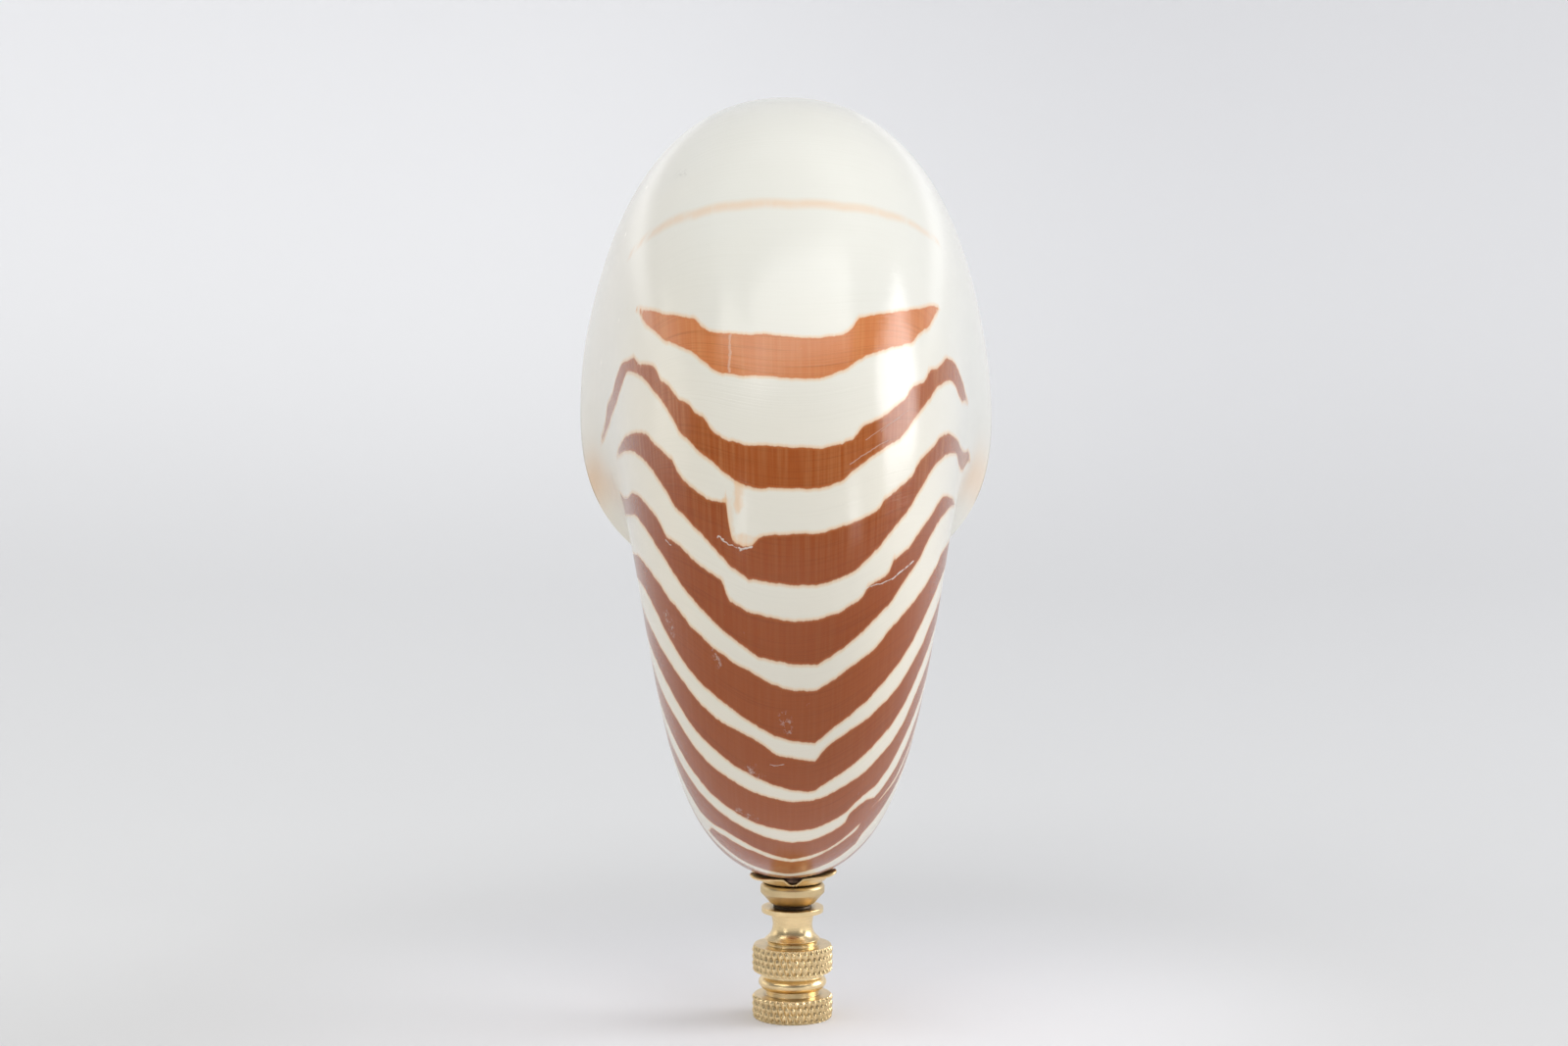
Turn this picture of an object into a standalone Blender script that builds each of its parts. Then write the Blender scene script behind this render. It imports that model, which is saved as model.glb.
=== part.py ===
"""A lamp shade finial: a whole nautilus shell cemented into a petalled brass cap, on a knurled brass base.

Metres, +Z up. The origin is the centre of the base's underside. The shell's plane of symmetry is the
YZ plane, its striped back faces -Y and its mouth opens towards +Y.
"""

import math

import bmesh
import bpy
from mathutils import Matrix, Vector

MM = 0.001

# Nautilus shell: a logarithmic spiral about an axis along X. An angle of 0 points to the front (-Y),
# 90 degrees points up, and the shell grows with the angle, up the front and over the top.
WHORL_GROWTH = 3.30
FRONT_RADIUS = 57.0 * MM
LIP_ANGLE = math.radians(128.0)
CHAMBER_ANGLE = math.radians(130.0)
SHELL_WALL = 1.5 * MM
SHELL_SIDE_SHIFT = -0.6 * MM
COIL_BACK_SHIFT = 8.0 * MM
# Whorl section, as shares of the whorl's own radius.
WIDTH_SHARE = 0.389
WIDEST_SHARE = 0.41
SECTION_POWER = 2.18
SEAM_WIDTH_SHARE = 0.073
SEAM_RADIUS_SHARE = 0.022
CALLUS_TURN = math.radians(55.0)
CHAMBER_TURN = math.radians(45.0)
CALLUS_SHARE = 0.15
# Shape of the mouth's edge, as angles along the spiral.
MOUTH_NOTCH = math.radians(11.0)
MOUTH_NOTCH_SPREAD = 0.30
EYE_NOTCH = math.radians(3.5)
EYE_NOTCH_AT = 0.62
EYE_NOTCH_SPREAD = 0.13
SEPTUM_DISH = math.radians(13.0)

# Turned brass base, from the floor up.
KNURL_RADIUS = 6.35 * MM
FOOT_RING_HEIGHT = 3.7 * MM
LOWER_GROOVE_HEIGHT = 0.95 * MM
LOWER_GROOVE_RADIUS = 4.15 * MM
BEAD_HEIGHT = 2.05 * MM
BEAD_RADIUS = 5.35 * MM
UPPER_GROOVE_HEIGHT = 0.75 * MM
UPPER_GROOVE_RADIUS = 4.7 * MM
TOP_RING_HEIGHT = 4.2 * MM
COLLET_HEIGHT = 0.9 * MM
COLLET_RADIUS = 3.9 * MM
FLARE_RADIUS = 4.35 * MM
NECK_HEIGHT = 4.3 * MM
NECK_RADIUS = 3.1 * MM
FLANGE_HEIGHT = 0.8 * MM
FLANGE_RADIUS = 4.87 * MM
EDGE_CHAMFER = 0.3 * MM
SOCKET_RADIUS = 3.2 * MM
SOCKET_DEPTH = 9.5 * MM

# Threaded stud, seat collar and petalled cap.
STUD_RADIUS = 1.9 * MM
STUD_ROOT = 4.0 * MM
SPACER_RADIUS = 3.05 * MM
SPACER_HEIGHT = 0.62 * MM
COLLAR_FOOT_RADIUS = 3.45 * MM
COLLAR_CONE_HEIGHT = 1.76 * MM
COLLAR_RIM_RADIUS = 5.05 * MM
COLLAR_RIM_HEIGHT = 1.45 * MM
COLLAR_EDGE = 0.55 * MM
CAP_THICKNESS = 0.45 * MM
CAP_SEAT_RADIUS = 4.2 * MM
CAP_TOUCH_RADIUS = 6.6 * MM
CAP_TIP_RADIUS = 10.0 * MM
CAP_NOTCH_RADIUS = 4.6 * MM
CAP_PETALS = 5
PETAL_POWER = 1.6
CEMENT_RADIUS = 5.4 * MM
CEMENT_CORE = 0.75 * MM

# Gaps between neighbours.
FACE_GAP = 0.15 * MM
BORE_GAP = 0.12 * MM

# Facets.
ROUND_SIDES = 36
WHORL_STEPS = 44
CHAMBER_STEPS = 16
SECTION_STEPS = 26
UMBILICAL_STEPS = 2
LIP_STEPS = 2
SEPTUM_STEPS = 5
CALLUS_RINGS = 2
PETAL_STEPS = 10
WELD = 0.00002

TURN = 2.0 * math.pi
SPIRAL_RATE = math.log(WHORL_GROWTH) / TURN

# Heights that follow from the lengths above.
BASE_HEIGHT = (
    FOOT_RING_HEIGHT
    + LOWER_GROOVE_HEIGHT
    + BEAD_HEIGHT
    + UPPER_GROOVE_HEIGHT
    + TOP_RING_HEIGHT
    + COLLET_HEIGHT
    + NECK_HEIGHT
    + FLANGE_HEIGHT
)
COLLAR_FOOT = BASE_HEIGHT + SPACER_HEIGHT
COLLAR_TOP = COLLAR_FOOT + COLLAR_CONE_HEIGHT + COLLAR_RIM_HEIGHT
CAP_FLOOR = COLLAR_TOP + FACE_GAP
CAP_FLOOR_TOP = CAP_FLOOR + CAP_THICKNESS
CEMENT_FLOOR = CAP_FLOOR_TOP + FACE_GAP
SHELL_FLOOR = CEMENT_FLOOR + CEMENT_CORE + FACE_GAP


def remove_everything():
    for old in list(bpy.data.objects):
        bpy.data.objects.remove(old)


def material(name, colour, roughness, metallic):
    made = bpy.data.materials.new(name)
    made.use_nodes = True
    shader = made.node_tree.nodes["Principled BSDF"]
    shader.inputs["Base Color"].default_value = (*colour, 1.0)
    shader.inputs["Roughness"].default_value = roughness
    shader.inputs["Metallic"].default_value = metallic
    return made


def add_object(collection, name, mesh, finish, smooth_angle=40.0):
    """Put a mesh in the collection under its name, with its material, shaded smooth but for its edges."""
    made = bpy.data.objects.new(name, mesh)
    mesh.materials.append(finish)
    mesh.shade_smooth()
    mesh.set_sharp_from_angle(angle=math.radians(smooth_angle))
    collection.objects.link(made)
    return made


def grid_patch(shape, columns, rows, place):
    """Add a grid of columns by rows cells to shape, and set each corner at place(column, row)."""
    made = bmesh.ops.create_grid(shape, x_segments=columns, y_segments=rows, size=1.0)
    for vert in made["verts"]:
        column = round((vert.co.x + 1.0) / 2.0 * columns)
        row = round((vert.co.y + 1.0) / 2.0 * rows)
        vert.co = place(column, row)


def closed_mesh(name, shape):
    """Weld a shape's seams, point its faces outwards and turn it into a mesh."""
    bmesh.ops.remove_doubles(shape, verts=shape.verts, dist=WELD)
    bmesh.ops.dissolve_degenerate(shape, edges=shape.edges, dist=WELD / 2)
    bmesh.ops.recalc_face_normals(shape, faces=shape.faces)
    mesh = bpy.data.meshes.new(name)
    shape.to_mesh(mesh)
    shape.free()
    return mesh


def turned(collection, name, profile, finish):
    """Turn a profile of (radius, height) points, listed down its outer side, about the Z axis."""
    mesh = bpy.data.meshes.new(name)
    points = [(radius, 0.0, height) for radius, height in profile]
    mesh.from_pydata(points, [(i, i + 1) for i in range(len(points) - 1)], [])
    made = add_object(collection, name, mesh, finish, 30.0)
    screw = made.modifiers.new("Turn", "SCREW")
    screw.axis = "Z"
    screw.steps = ROUND_SIDES
    screw.render_steps = ROUND_SIDES
    screw.use_merge_vertices = True
    screw.merge_threshold = 0.00001
    return made


def arc(start, end, bulge, steps):
    """Points after start up to end, bowed by bulge to the left of the way from start to end."""
    (x0, z0), (x1, z1) = start, end
    length = math.hypot(x1 - x0, z1 - z0)
    side = (-(z1 - z0) / length, (x1 - x0) / length)
    points = []
    for i in range(1, steps + 1):
        t = i / steps
        out = bulge * math.sin(math.pi * t)
        points.append((x0 + (x1 - x0) * t + side[0] * out, z0 + (z1 - z0) * t + side[1] * out))
    return points


# The shell.


def section_turn(s):
    """Turning angle along half a section: 0 at the back, 90 degrees at the widest point, then on to the callus."""
    return abs(s) * (math.pi / 2.0 + CALLUS_TURN)


def section_point(s):
    """(half-width, radius) of the whorl's outline as shares of its radius, for s from -1 to 1 across it."""
    turn = section_turn(s)
    power = 2.0 / SECTION_POWER
    if turn <= math.pi / 2.0:
        x = WIDTH_SHARE * math.sin(turn) ** power
        rho = WIDEST_SHARE + (1.0 - WIDEST_SHARE) * max(math.cos(turn), 0.0) ** power
    else:
        turn -= math.pi / 2.0
        x = SEAM_WIDTH_SHARE + (WIDTH_SHARE - SEAM_WIDTH_SHARE) * math.cos(turn) ** 0.9
        rho = WIDEST_SHARE - (WIDEST_SHARE - SEAM_RADIUS_SHARE) * math.sin(turn) ** 0.9
    return math.copysign(x, s), rho


def section_normal(s):
    """Outward unit normal of the outline in the section's plane, from two near points of it."""
    step = 0.004
    low = section_point(max(s - step, -1.0))
    high = section_point(min(s + step, 1.0))
    along = (high[0] - low[0], high[1] - low[1])
    length = math.hypot(*along)
    return -along[1] / length, along[0] / length


def mouth_shift(s):
    """How far the mouth's edge lies ahead of the lip angle at s: a notch at the back and one at each eye."""
    back = MOUTH_NOTCH * math.exp(-((s / MOUTH_NOTCH_SPREAD) ** 2))
    eye = EYE_NOTCH * math.exp(-(((abs(s) - EYE_NOTCH_AT) / EYE_NOTCH_SPREAD) ** 2))
    return -back - eye


def whorl_radius(angle):
    return FRONT_RADIUS * math.exp(SPIRAL_RATE * angle)


def lowest_share():
    """Depth of the spiral's lowest point below its axis, as a share of the front radius."""
    angle = -math.pi / 2.0 + math.atan(SPIRAL_RATE)
    return -math.exp(SPIRAL_RATE * angle) * math.sin(angle)


COIL_HEIGHT = SHELL_FLOOR + FRONT_RADIUS * lowest_share()


def from_axis(x, rho, angle):
    """Point at half-width x and radius rho from the coil's axis, in the half-plane at this angle."""
    return Vector(
        (
            SHELL_SIDE_SHIFT + x,
            COIL_BACK_SHIFT - rho * math.cos(angle),
            COIL_HEIGHT + rho * math.sin(angle),
        )
    )


def skin_point(angle, s):
    """Outer surface of the shell on the growth line that reaches this angle."""
    angle += mouth_shift(s)
    radius = whorl_radius(angle)
    x, rho = section_point(s)
    return from_axis(x * radius, rho * radius, angle)


CHAMBER_EDGE = (math.pi / 2.0 + CHAMBER_TURN) / (math.pi / 2.0 + CALLUS_TURN)


def inner_point(angle, s):
    """Inside of the living chamber: the outline less the wall, drawn in to the earlier whorl at its two edges."""
    angle += mouth_shift(s)
    radius = whorl_radius(angle)
    x, rho = section_point(s)
    across, outward = section_normal(s)
    wall_point = Vector((x * radius - across * SHELL_WALL, rho * radius - outward * SHELL_WALL))
    edge_point = Vector((x * radius / WHORL_GROWTH, rho * radius / WHORL_GROWTH))
    near_edge = max(0.0, (abs(s) / CHAMBER_EDGE - 0.80) / 0.20)
    mixed = wall_point.lerp(edge_point, near_edge**3)
    return from_axis(mixed.x, mixed.y, angle)


def shell_columns():
    """Values of s across the section, evenly spaced, with a column on each edge of the living chamber."""
    inside = [CHAMBER_EDGE * (2.0 * i / SECTION_STEPS - 1.0) for i in range(SECTION_STEPS + 1)]
    step = (1.0 - CHAMBER_EDGE) / UMBILICAL_STEPS
    beyond = [CHAMBER_EDGE + step * (i + 1) for i in range(UMBILICAL_STEPS)]
    return [-s for s in reversed(beyond)] + inside + beyond, inside


def shell_mesh():
    """The shell as one closed skin: outside, lip, living chamber, floor of the chamber, septum and calluses."""
    columns, inside = shell_columns()
    start = LIP_ANGLE - TURN
    septum = LIP_ANGLE - CHAMBER_ANGLE
    shape = bmesh.new()

    def outside(column, row):
        return skin_point(start + TURN * row / WHORL_STEPS, columns[column])

    def floor(column, row):
        return skin_point(septum - TURN + CHAMBER_ANGLE * row / CHAMBER_STEPS, inside[column])

    def lining(column, row):
        return inner_point(septum + CHAMBER_ANGLE * row / CHAMBER_STEPS, inside[column])

    def lip(column, row):
        share = row / LIP_STEPS
        s = inside[column]
        outer = skin_point(LIP_ANGLE, s)
        inner = inner_point(LIP_ANGLE, s)
        ahead = skin_point(LIP_ANGLE + 0.01, s) - outer
        rounding = min((outer - inner).length, SHELL_WALL) / 2.0
        return outer.lerp(inner, share) + ahead.normalized() * rounding * math.sin(math.pi * share)

    def septum_wall(column, row):
        share = row / SEPTUM_STEPS
        s = inside[column]
        near = inner_point(septum, s)
        far = skin_point(septum - TURN, s)
        hollow = math.sin(math.pi * share) * (1.0 - (s / CHAMBER_EDGE) ** 2)
        back = SEPTUM_DISH * max(hollow, 0.0)
        axis = from_axis(0.0, 0.0, 0.0)
        turn = Matrix.Rotation(-back, 3, "X").inverted()
        return axis + turn @ (near.lerp(far, share) - axis)

    grid_patch(shape, len(columns) - 1, WHORL_STEPS, outside)
    grid_patch(shape, SECTION_STEPS, CHAMBER_STEPS, floor)
    grid_patch(shape, SECTION_STEPS, CHAMBER_STEPS, lining)
    grid_patch(shape, SECTION_STEPS, LIP_STEPS, lip)
    grid_patch(shape, SECTION_STEPS, SEPTUM_STEPS, septum_wall)

    for side in (-1, 1):
        ring = callus_ring(side, columns, lip)
        centre = from_axis(side * CALLUS_SHARE * whorl_radius(LIP_ANGLE), 0.0, 0.0)

        def callus(column, row, ring=ring, centre=centre):
            share = row / CALLUS_RINGS
            return ring[column].lerp(centre, share)

        grid_patch(shape, len(ring) - 1, CALLUS_RINGS, callus)
    return closed_mesh("nautilus_shell", shape)


def callus_ring(side, columns, lip):
    """The closed edge round one callus: along the coil's inner edge, out along the mouth and back to the start."""
    start = LIP_ANGLE - TURN
    coil = [skin_point(start + TURN * row / WHORL_STEPS, side) for row in range(WHORL_STEPS + 1)]
    beyond = [s for s in columns if s * side > CHAMBER_EDGE - 1e-6]
    beyond.sort(key=abs, reverse=True)
    mouth = [skin_point(LIP_ANGLE, s) for s in beyond[1:]]
    edge_column = SECTION_STEPS if side > 0 else 0
    lip_edge = [lip(edge_column, row) for row in range(1, LIP_STEPS + 1)]
    seat = [skin_point(start, s) for s in sorted(beyond, key=abs)[1:]]
    return coil + mouth + lip_edge + seat


def shell_underside(x, y):
    """Height of the shell's outer surface straight above a point near the base's axis."""
    low, high = math.radians(-150.0), math.radians(-20.0)
    for _ in range(40):
        angle = (low + high) / 2.0
        point = underside_point(x, angle)
        if point.y > y:
            low = angle
        else:
            high = angle
    return underside_point(x, (low + high) / 2.0).z


def underside_point(x, angle):
    """Point of the back at this angle and this distance x from the base's axis."""
    radius = whorl_radius(angle)
    reach = min(abs(x - SHELL_SIDE_SHIFT) / (WIDTH_SHARE * radius), 1.0)
    turn = math.asin(reach ** (SECTION_POWER / 2.0))
    rho = radius * (WIDEST_SHARE + (1.0 - WIDEST_SHARE) * math.cos(turn) ** (2.0 / SECTION_POWER))
    return from_axis(x, rho, angle)


# The brass.


def base_profile():
    """Outer side of the base from its top to its foot, then up inside the threaded socket."""
    stud_hole = STUD_RADIUS + BORE_GAP
    foot_top = FOOT_RING_HEIGHT
    bead_low = foot_top + LOWER_GROOVE_HEIGHT
    bead_high = bead_low + BEAD_HEIGHT
    ring_low = bead_high + UPPER_GROOVE_HEIGHT
    ring_high = ring_low + TOP_RING_HEIGHT
    collet_top = ring_high + COLLET_HEIGHT
    flange_low = collet_top + NECK_HEIGHT
    chamfer = EDGE_CHAMFER
    neck_foot = (FLARE_RADIUS, collet_top)
    neck_top = (NECK_RADIUS, flange_low - NECK_HEIGHT * 0.45)
    points = [
        (0.0, BASE_HEIGHT - STUD_ROOT),
        (stud_hole, BASE_HEIGHT - STUD_ROOT),
        (stud_hole, BASE_HEIGHT),
        (FLANGE_RADIUS - chamfer / 2.0, BASE_HEIGHT),
        (FLANGE_RADIUS, BASE_HEIGHT - chamfer / 2.0),
        (FLANGE_RADIUS, flange_low + chamfer / 2.0),
        (FLANGE_RADIUS - chamfer, flange_low),
        (NECK_RADIUS + chamfer, flange_low),
        neck_top,
    ]
    points += arc(neck_top, neck_foot, -0.13 * NECK_HEIGHT, 5)
    points += [
        (COLLET_RADIUS, collet_top - chamfer),
        (COLLET_RADIUS, ring_high),
        (KNURL_RADIUS - chamfer, ring_high),
        (KNURL_RADIUS, ring_high - chamfer),
        (KNURL_RADIUS, ring_low + chamfer),
        (KNURL_RADIUS - chamfer, ring_low),
        (UPPER_GROOVE_RADIUS, ring_low),
        (UPPER_GROOVE_RADIUS, bead_high),
    ]
    bead_reach = BEAD_RADIUS - UPPER_GROOVE_RADIUS
    points += arc((UPPER_GROOVE_RADIUS, bead_high), (UPPER_GROOVE_RADIUS, bead_low), bead_reach, 6)
    points += [
        (LOWER_GROOVE_RADIUS, bead_low),
        (LOWER_GROOVE_RADIUS, foot_top),
        (KNURL_RADIUS - chamfer, foot_top),
        (KNURL_RADIUS, foot_top - chamfer),
        (KNURL_RADIUS, chamfer),
        (KNURL_RADIUS - chamfer, 0.0),
        (SOCKET_RADIUS + chamfer, 0.0),
        (SOCKET_RADIUS, chamfer),
        (SOCKET_RADIUS, SOCKET_DEPTH),
        (0.0, SOCKET_DEPTH),
    ]
    return points


def stud_profile():
    """Stud from inside the base to the cap's floor, with the dark spacer between base and collar."""
    low = BASE_HEIGHT + FACE_GAP
    high = COLLAR_FOOT - FACE_GAP
    return [
        (0.0, CAP_FLOOR_TOP),
        (STUD_RADIUS, CAP_FLOOR_TOP),
        (STUD_RADIUS, high),
        (SPACER_RADIUS, high),
        (SPACER_RADIUS, low),
        (STUD_RADIUS, low),
        (STUD_RADIUS, BASE_HEIGHT - STUD_ROOT + FACE_GAP),
        (0.0, BASE_HEIGHT - STUD_ROOT + FACE_GAP),
    ]


def collar_profile():
    """Seat collar: a rounded rim over a cone, bored for the stud."""
    hole = STUD_RADIUS + BORE_GAP
    rim_low = COLLAR_FOOT + COLLAR_CONE_HEIGHT
    shoulder = (COLLAR_RIM_RADIUS - COLLAR_EDGE, COLLAR_TOP)
    points = [(hole, COLLAR_FOOT), (hole, COLLAR_TOP), shoulder]
    points += arc(shoulder, (COLLAR_RIM_RADIUS, COLLAR_TOP - COLLAR_EDGE), 0.2 * COLLAR_EDGE, 3)
    points += [
        (COLLAR_RIM_RADIUS, rim_low + COLLAR_EDGE / 3.0),
        (COLLAR_RIM_RADIUS - COLLAR_EDGE / 3.0, rim_low),
        (COLLAR_FOOT_RADIUS, COLLAR_FOOT),
        (hole, COLLAR_FOOT),
    ]
    return points


def petal_edge(turn):
    """Radius of the cap's edge in plan at this angle; two petals flank the front."""
    wave = abs(math.cos(CAP_PETALS * (turn + math.pi / CAP_PETALS) / 2.0))
    return CAP_NOTCH_RADIUS + (CAP_TIP_RADIUS - CAP_NOTCH_RADIUS) * wave**PETAL_POWER


def cap_height(x, y):
    """Top of the cap's sheet: a flat floor, then petals bent up until they lie along the shell."""
    distance = math.hypot(x, y)
    share = (distance - CAP_SEAT_RADIUS) / (CAP_TOUCH_RADIUS - CAP_SEAT_RADIUS)
    share = min(max(share, 0.0), 1.0)
    blend = share * share * (3.0 - 2.0 * share)
    against_shell = shell_underside(x, y) - 2.0 * FACE_GAP
    return CAP_FLOOR_TOP + (against_shell - CAP_FLOOR_TOP) * blend


def from_front(radius, turn):
    """Point in plan at this radius and this angle from the front, about the base's axis."""
    return radius * math.sin(turn), -radius * math.cos(turn)


def add_petal_cap(collection, finish):
    """Cap of thin sheet, a ring with a petalled edge, thickened downwards."""
    hole = STUD_RADIUS + BORE_GAP
    around = CAP_PETALS * PETAL_STEPS
    shares = [0.0, 0.28, 0.42, 0.58, 0.78, 1.0]
    shape = bmesh.new()

    def sheet(column, row):
        turn = TURN * column / around
        reach = petal_edge(turn)
        seat = min(CAP_SEAT_RADIUS, reach)
        rows = [hole, seat] + [seat + (reach - seat) * share for share in shares[1:]]
        x, y = from_front(rows[row], turn)
        return Vector((x, y, cap_height(x, y)))

    grid_patch(shape, around, len(shares), sheet)
    mesh = closed_mesh("petal_cap", shape)
    made = add_object(collection, "petal_cap", mesh, finish, 50.0)
    thick = made.modifiers.new("Sheet", "SOLIDIFY")
    thick.thickness = CAP_THICKNESS
    thick.offset = -1.0 if mesh.polygons[0].normal.z > 0.0 else 1.0
    return made


def cement_mesh():
    """Bed of cement that fills the bowl between the cap and the shell."""
    around = 2 * CAP_PETALS * 3
    rings = 4
    shape = bmesh.new()

    def top_height(x, y):
        return shell_underside(x, y) - FACE_GAP

    def low_height(x, y):
        return min(cap_height(x, y) + FACE_GAP, top_height(x, y) - 0.1 * MM)

    def face(height):
        def place(column, row):
            x, y = from_front(CEMENT_RADIUS * row / rings, TURN * column / around)
            return Vector((x, y, height(x, y)))

        return place

    def rim(column, row):
        x, y = from_front(CEMENT_RADIUS, TURN * column / around)
        return Vector((x, y, top_height(x, y) if row else low_height(x, y)))

    grid_patch(shape, around, rings, face(top_height))
    grid_patch(shape, around, rings, face(low_height))
    grid_patch(shape, around, 1, rim)
    return closed_mesh("cement_bed", shape)


def build():
    remove_everything()
    finial = bpy.data.collections.new("lamp_shade_finial")
    bpy.context.scene.collection.children.link(finial)
    shell_finish = material("polished_shell", (0.88, 0.85, 0.76), 0.22, 0.0)
    brass = material("satin_brass", (0.78, 0.60, 0.30), 0.32, 1.0)
    dark = material("dark_thread", (0.13, 0.10, 0.07), 0.5, 0.6)
    cement = material("brown_cement", (0.16, 0.10, 0.06), 0.35, 0.0)
    add_object(finial, "nautilus_shell", shell_mesh(), shell_finish, 50.0)
    add_object(finial, "cement_bed", cement_mesh(), cement)
    add_petal_cap(finial, brass)
    turned(finial, "seat_collar", collar_profile(), brass)
    turned(finial, "threaded_stud", stud_profile(), dark)
    turned(finial, "knurled_base", base_profile(), brass)


build()
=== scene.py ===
"""The looks of the nautilus lamp finial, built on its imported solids.

Surfaces are grids of points worked out with numpy, in millimetres about the base's underside, and are
turned to metres when they become meshes. Angles along the shell's coil are in degrees: 0 faces the
front (-Y), 90 faces up, and the shell grows with the angle, up its striped back and over the top.
"""
import math

import bmesh
import bpy
import numpy as np
from mathutils import Euler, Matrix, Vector


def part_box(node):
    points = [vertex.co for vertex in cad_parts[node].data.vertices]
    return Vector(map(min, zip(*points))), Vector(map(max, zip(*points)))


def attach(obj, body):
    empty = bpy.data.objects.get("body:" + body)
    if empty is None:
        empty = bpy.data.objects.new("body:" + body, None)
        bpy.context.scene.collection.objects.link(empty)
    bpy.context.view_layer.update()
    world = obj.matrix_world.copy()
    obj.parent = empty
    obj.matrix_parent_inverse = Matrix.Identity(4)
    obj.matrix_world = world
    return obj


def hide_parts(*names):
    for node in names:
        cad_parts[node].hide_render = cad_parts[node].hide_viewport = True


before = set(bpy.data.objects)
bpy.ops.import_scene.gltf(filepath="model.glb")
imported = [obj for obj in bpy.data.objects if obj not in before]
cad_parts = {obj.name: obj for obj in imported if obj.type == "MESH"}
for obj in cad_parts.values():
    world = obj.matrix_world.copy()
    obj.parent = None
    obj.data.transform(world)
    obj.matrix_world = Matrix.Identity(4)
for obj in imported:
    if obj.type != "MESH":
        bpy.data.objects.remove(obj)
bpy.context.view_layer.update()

MM = 0.001
BODY = "root"
SEED = 7


def top_of(node):
    """Height of a node's highest point, in millimetres."""
    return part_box(node)[1].z / MM


def foot_of(node):
    """Height of a node's lowest point, in millimetres."""
    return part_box(node)[0].z / MM


def reach_of(node):
    """Half the width of a node across X, in millimetres."""
    low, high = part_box(node)
    return (high.x - low.x) / 2 / MM


# Nautilus shell, as in the solid.
WHORL_GROWTH = 3.30
FRONT_RADIUS = 57.0
LIP_ANGLE = 128.0
CHAMBER_ANGLE = 130.0
SHELL_WALL = 1.5
SHELL_SIDE_SHIFT = -0.6
COIL_BACK_SHIFT = 8.0
WIDTH_SHARE = 0.389
WIDEST_SHARE = 0.41
SECTION_POWER = 2.18
FLANK_POWER = 0.9
SEAM_WIDTH_SHARE = 0.073
SEAM_RADIUS_SHARE = 0.022
CALLUS_TURN = 55.0
CHAMBER_TURN = 45.0
CALLUS_SHARE = 0.15
MOUTH_NOTCH = 11.0
MOUTH_NOTCH_SPREAD = 0.30
EYE_NOTCH = 3.5
EYE_NOTCH_AT = 0.62
EYE_NOTCH_SPREAD = 0.13
SEPTUM_DISH = 13.0
FUNNEL_DEPTH = 5.0
FUNNEL_AT = 0.62
FUNNEL_HEIGHT = 0.035
FUNNEL_WIDTH = 0.030
CALLUS_POWER = 1.15
CHAMBER_EASE_FROM = 0.80
NEAR_SHARE = 0.004
NEAR_ANGLE = 0.6
SPIRAL_RATE = math.log(WHORL_GROWTH) / 360.0
CHAMBER_EDGE = (90.0 + CHAMBER_TURN) / (90.0 + CALLUS_TURN)


def lowest_share():
    """Depth of the spiral's lowest point below its axis, as a share of the front radius."""
    rate = SPIRAL_RATE * 180.0 / math.pi
    angle = -math.pi / 2 + math.atan(rate)
    return -math.exp(rate * angle) * math.sin(angle)


COIL_HEIGHT = foot_of("nautilus_shell") + FRONT_RADIUS * lowest_share()

# Grid of the shell: rows along the coil, columns across the section.
FRONT_ROWS = 215
BACK_ROWS = 105
FRONT_FROM = -75.0
FRONT_TO = 75.0
SECTION_COLUMNS = 148
UMBILICAL_COLUMNS = 7
CHAMBER_ROWS = 62
LIP_ROWS = 8
SEPTUM_ROWS = 46
CALLUS_ROWS = 12
NACRE_FADE = 12.0
CALLUS_NACRE = 0.6
CALLUS_GROWTH = -75.0


def whorl_radius(angle):
    return FRONT_RADIUS * np.exp(SPIRAL_RATE * angle)


def section(across):
    """Half-width and radius of the whorl's outline, as shares of its radius.

    From the back to the widest point it is a quarter of a superellipse. From there to the callus it is
    the first part of another quarter, which would end at the seam by the coil's axis.
    """
    turn = np.radians(np.abs(across) * (90.0 + CALLUS_TURN))
    power = 2.0 / SECTION_POWER
    back = np.minimum(turn, math.pi / 2)
    side = np.maximum(turn - math.pi / 2, 0.0)
    round_x = WIDTH_SHARE * np.sin(back) ** power
    round_rho = WIDEST_SHARE + (1 - WIDEST_SHARE) * np.cos(back).clip(0.0) ** power
    side_x = SEAM_WIDTH_SHARE + (WIDTH_SHARE - SEAM_WIDTH_SHARE) * np.cos(side) ** FLANK_POWER
    side_rho = WIDEST_SHARE - (WIDEST_SHARE - SEAM_RADIUS_SHARE) * np.sin(side) ** FLANK_POWER
    on_back = turn <= math.pi / 2
    x = np.where(on_back, round_x, side_x)
    rho = np.where(on_back, round_rho, side_rho)
    return np.sign(across) * x, rho


def section_normal(across):
    """Outward unit normal of the outline in the section's plane, from two near points of it."""
    low = section(np.maximum(across - NEAR_SHARE, -1.0))
    high = section(np.minimum(across + NEAR_SHARE, 1.0))
    along_x = high[0] - low[0]
    along_rho = high[1] - low[1]
    length = np.hypot(along_x, along_rho)
    return -along_rho / length, along_x / length


def mouth_shift(across):
    """Degrees that a growth line lies behind its own angle: a notch at the back and one at each eye."""
    back = MOUTH_NOTCH * np.exp(-((across / MOUTH_NOTCH_SPREAD) ** 2))
    eye = EYE_NOTCH * np.exp(-(((np.abs(across) - EYE_NOTCH_AT) / EYE_NOTCH_SPREAD) ** 2))
    return -back - eye


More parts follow.
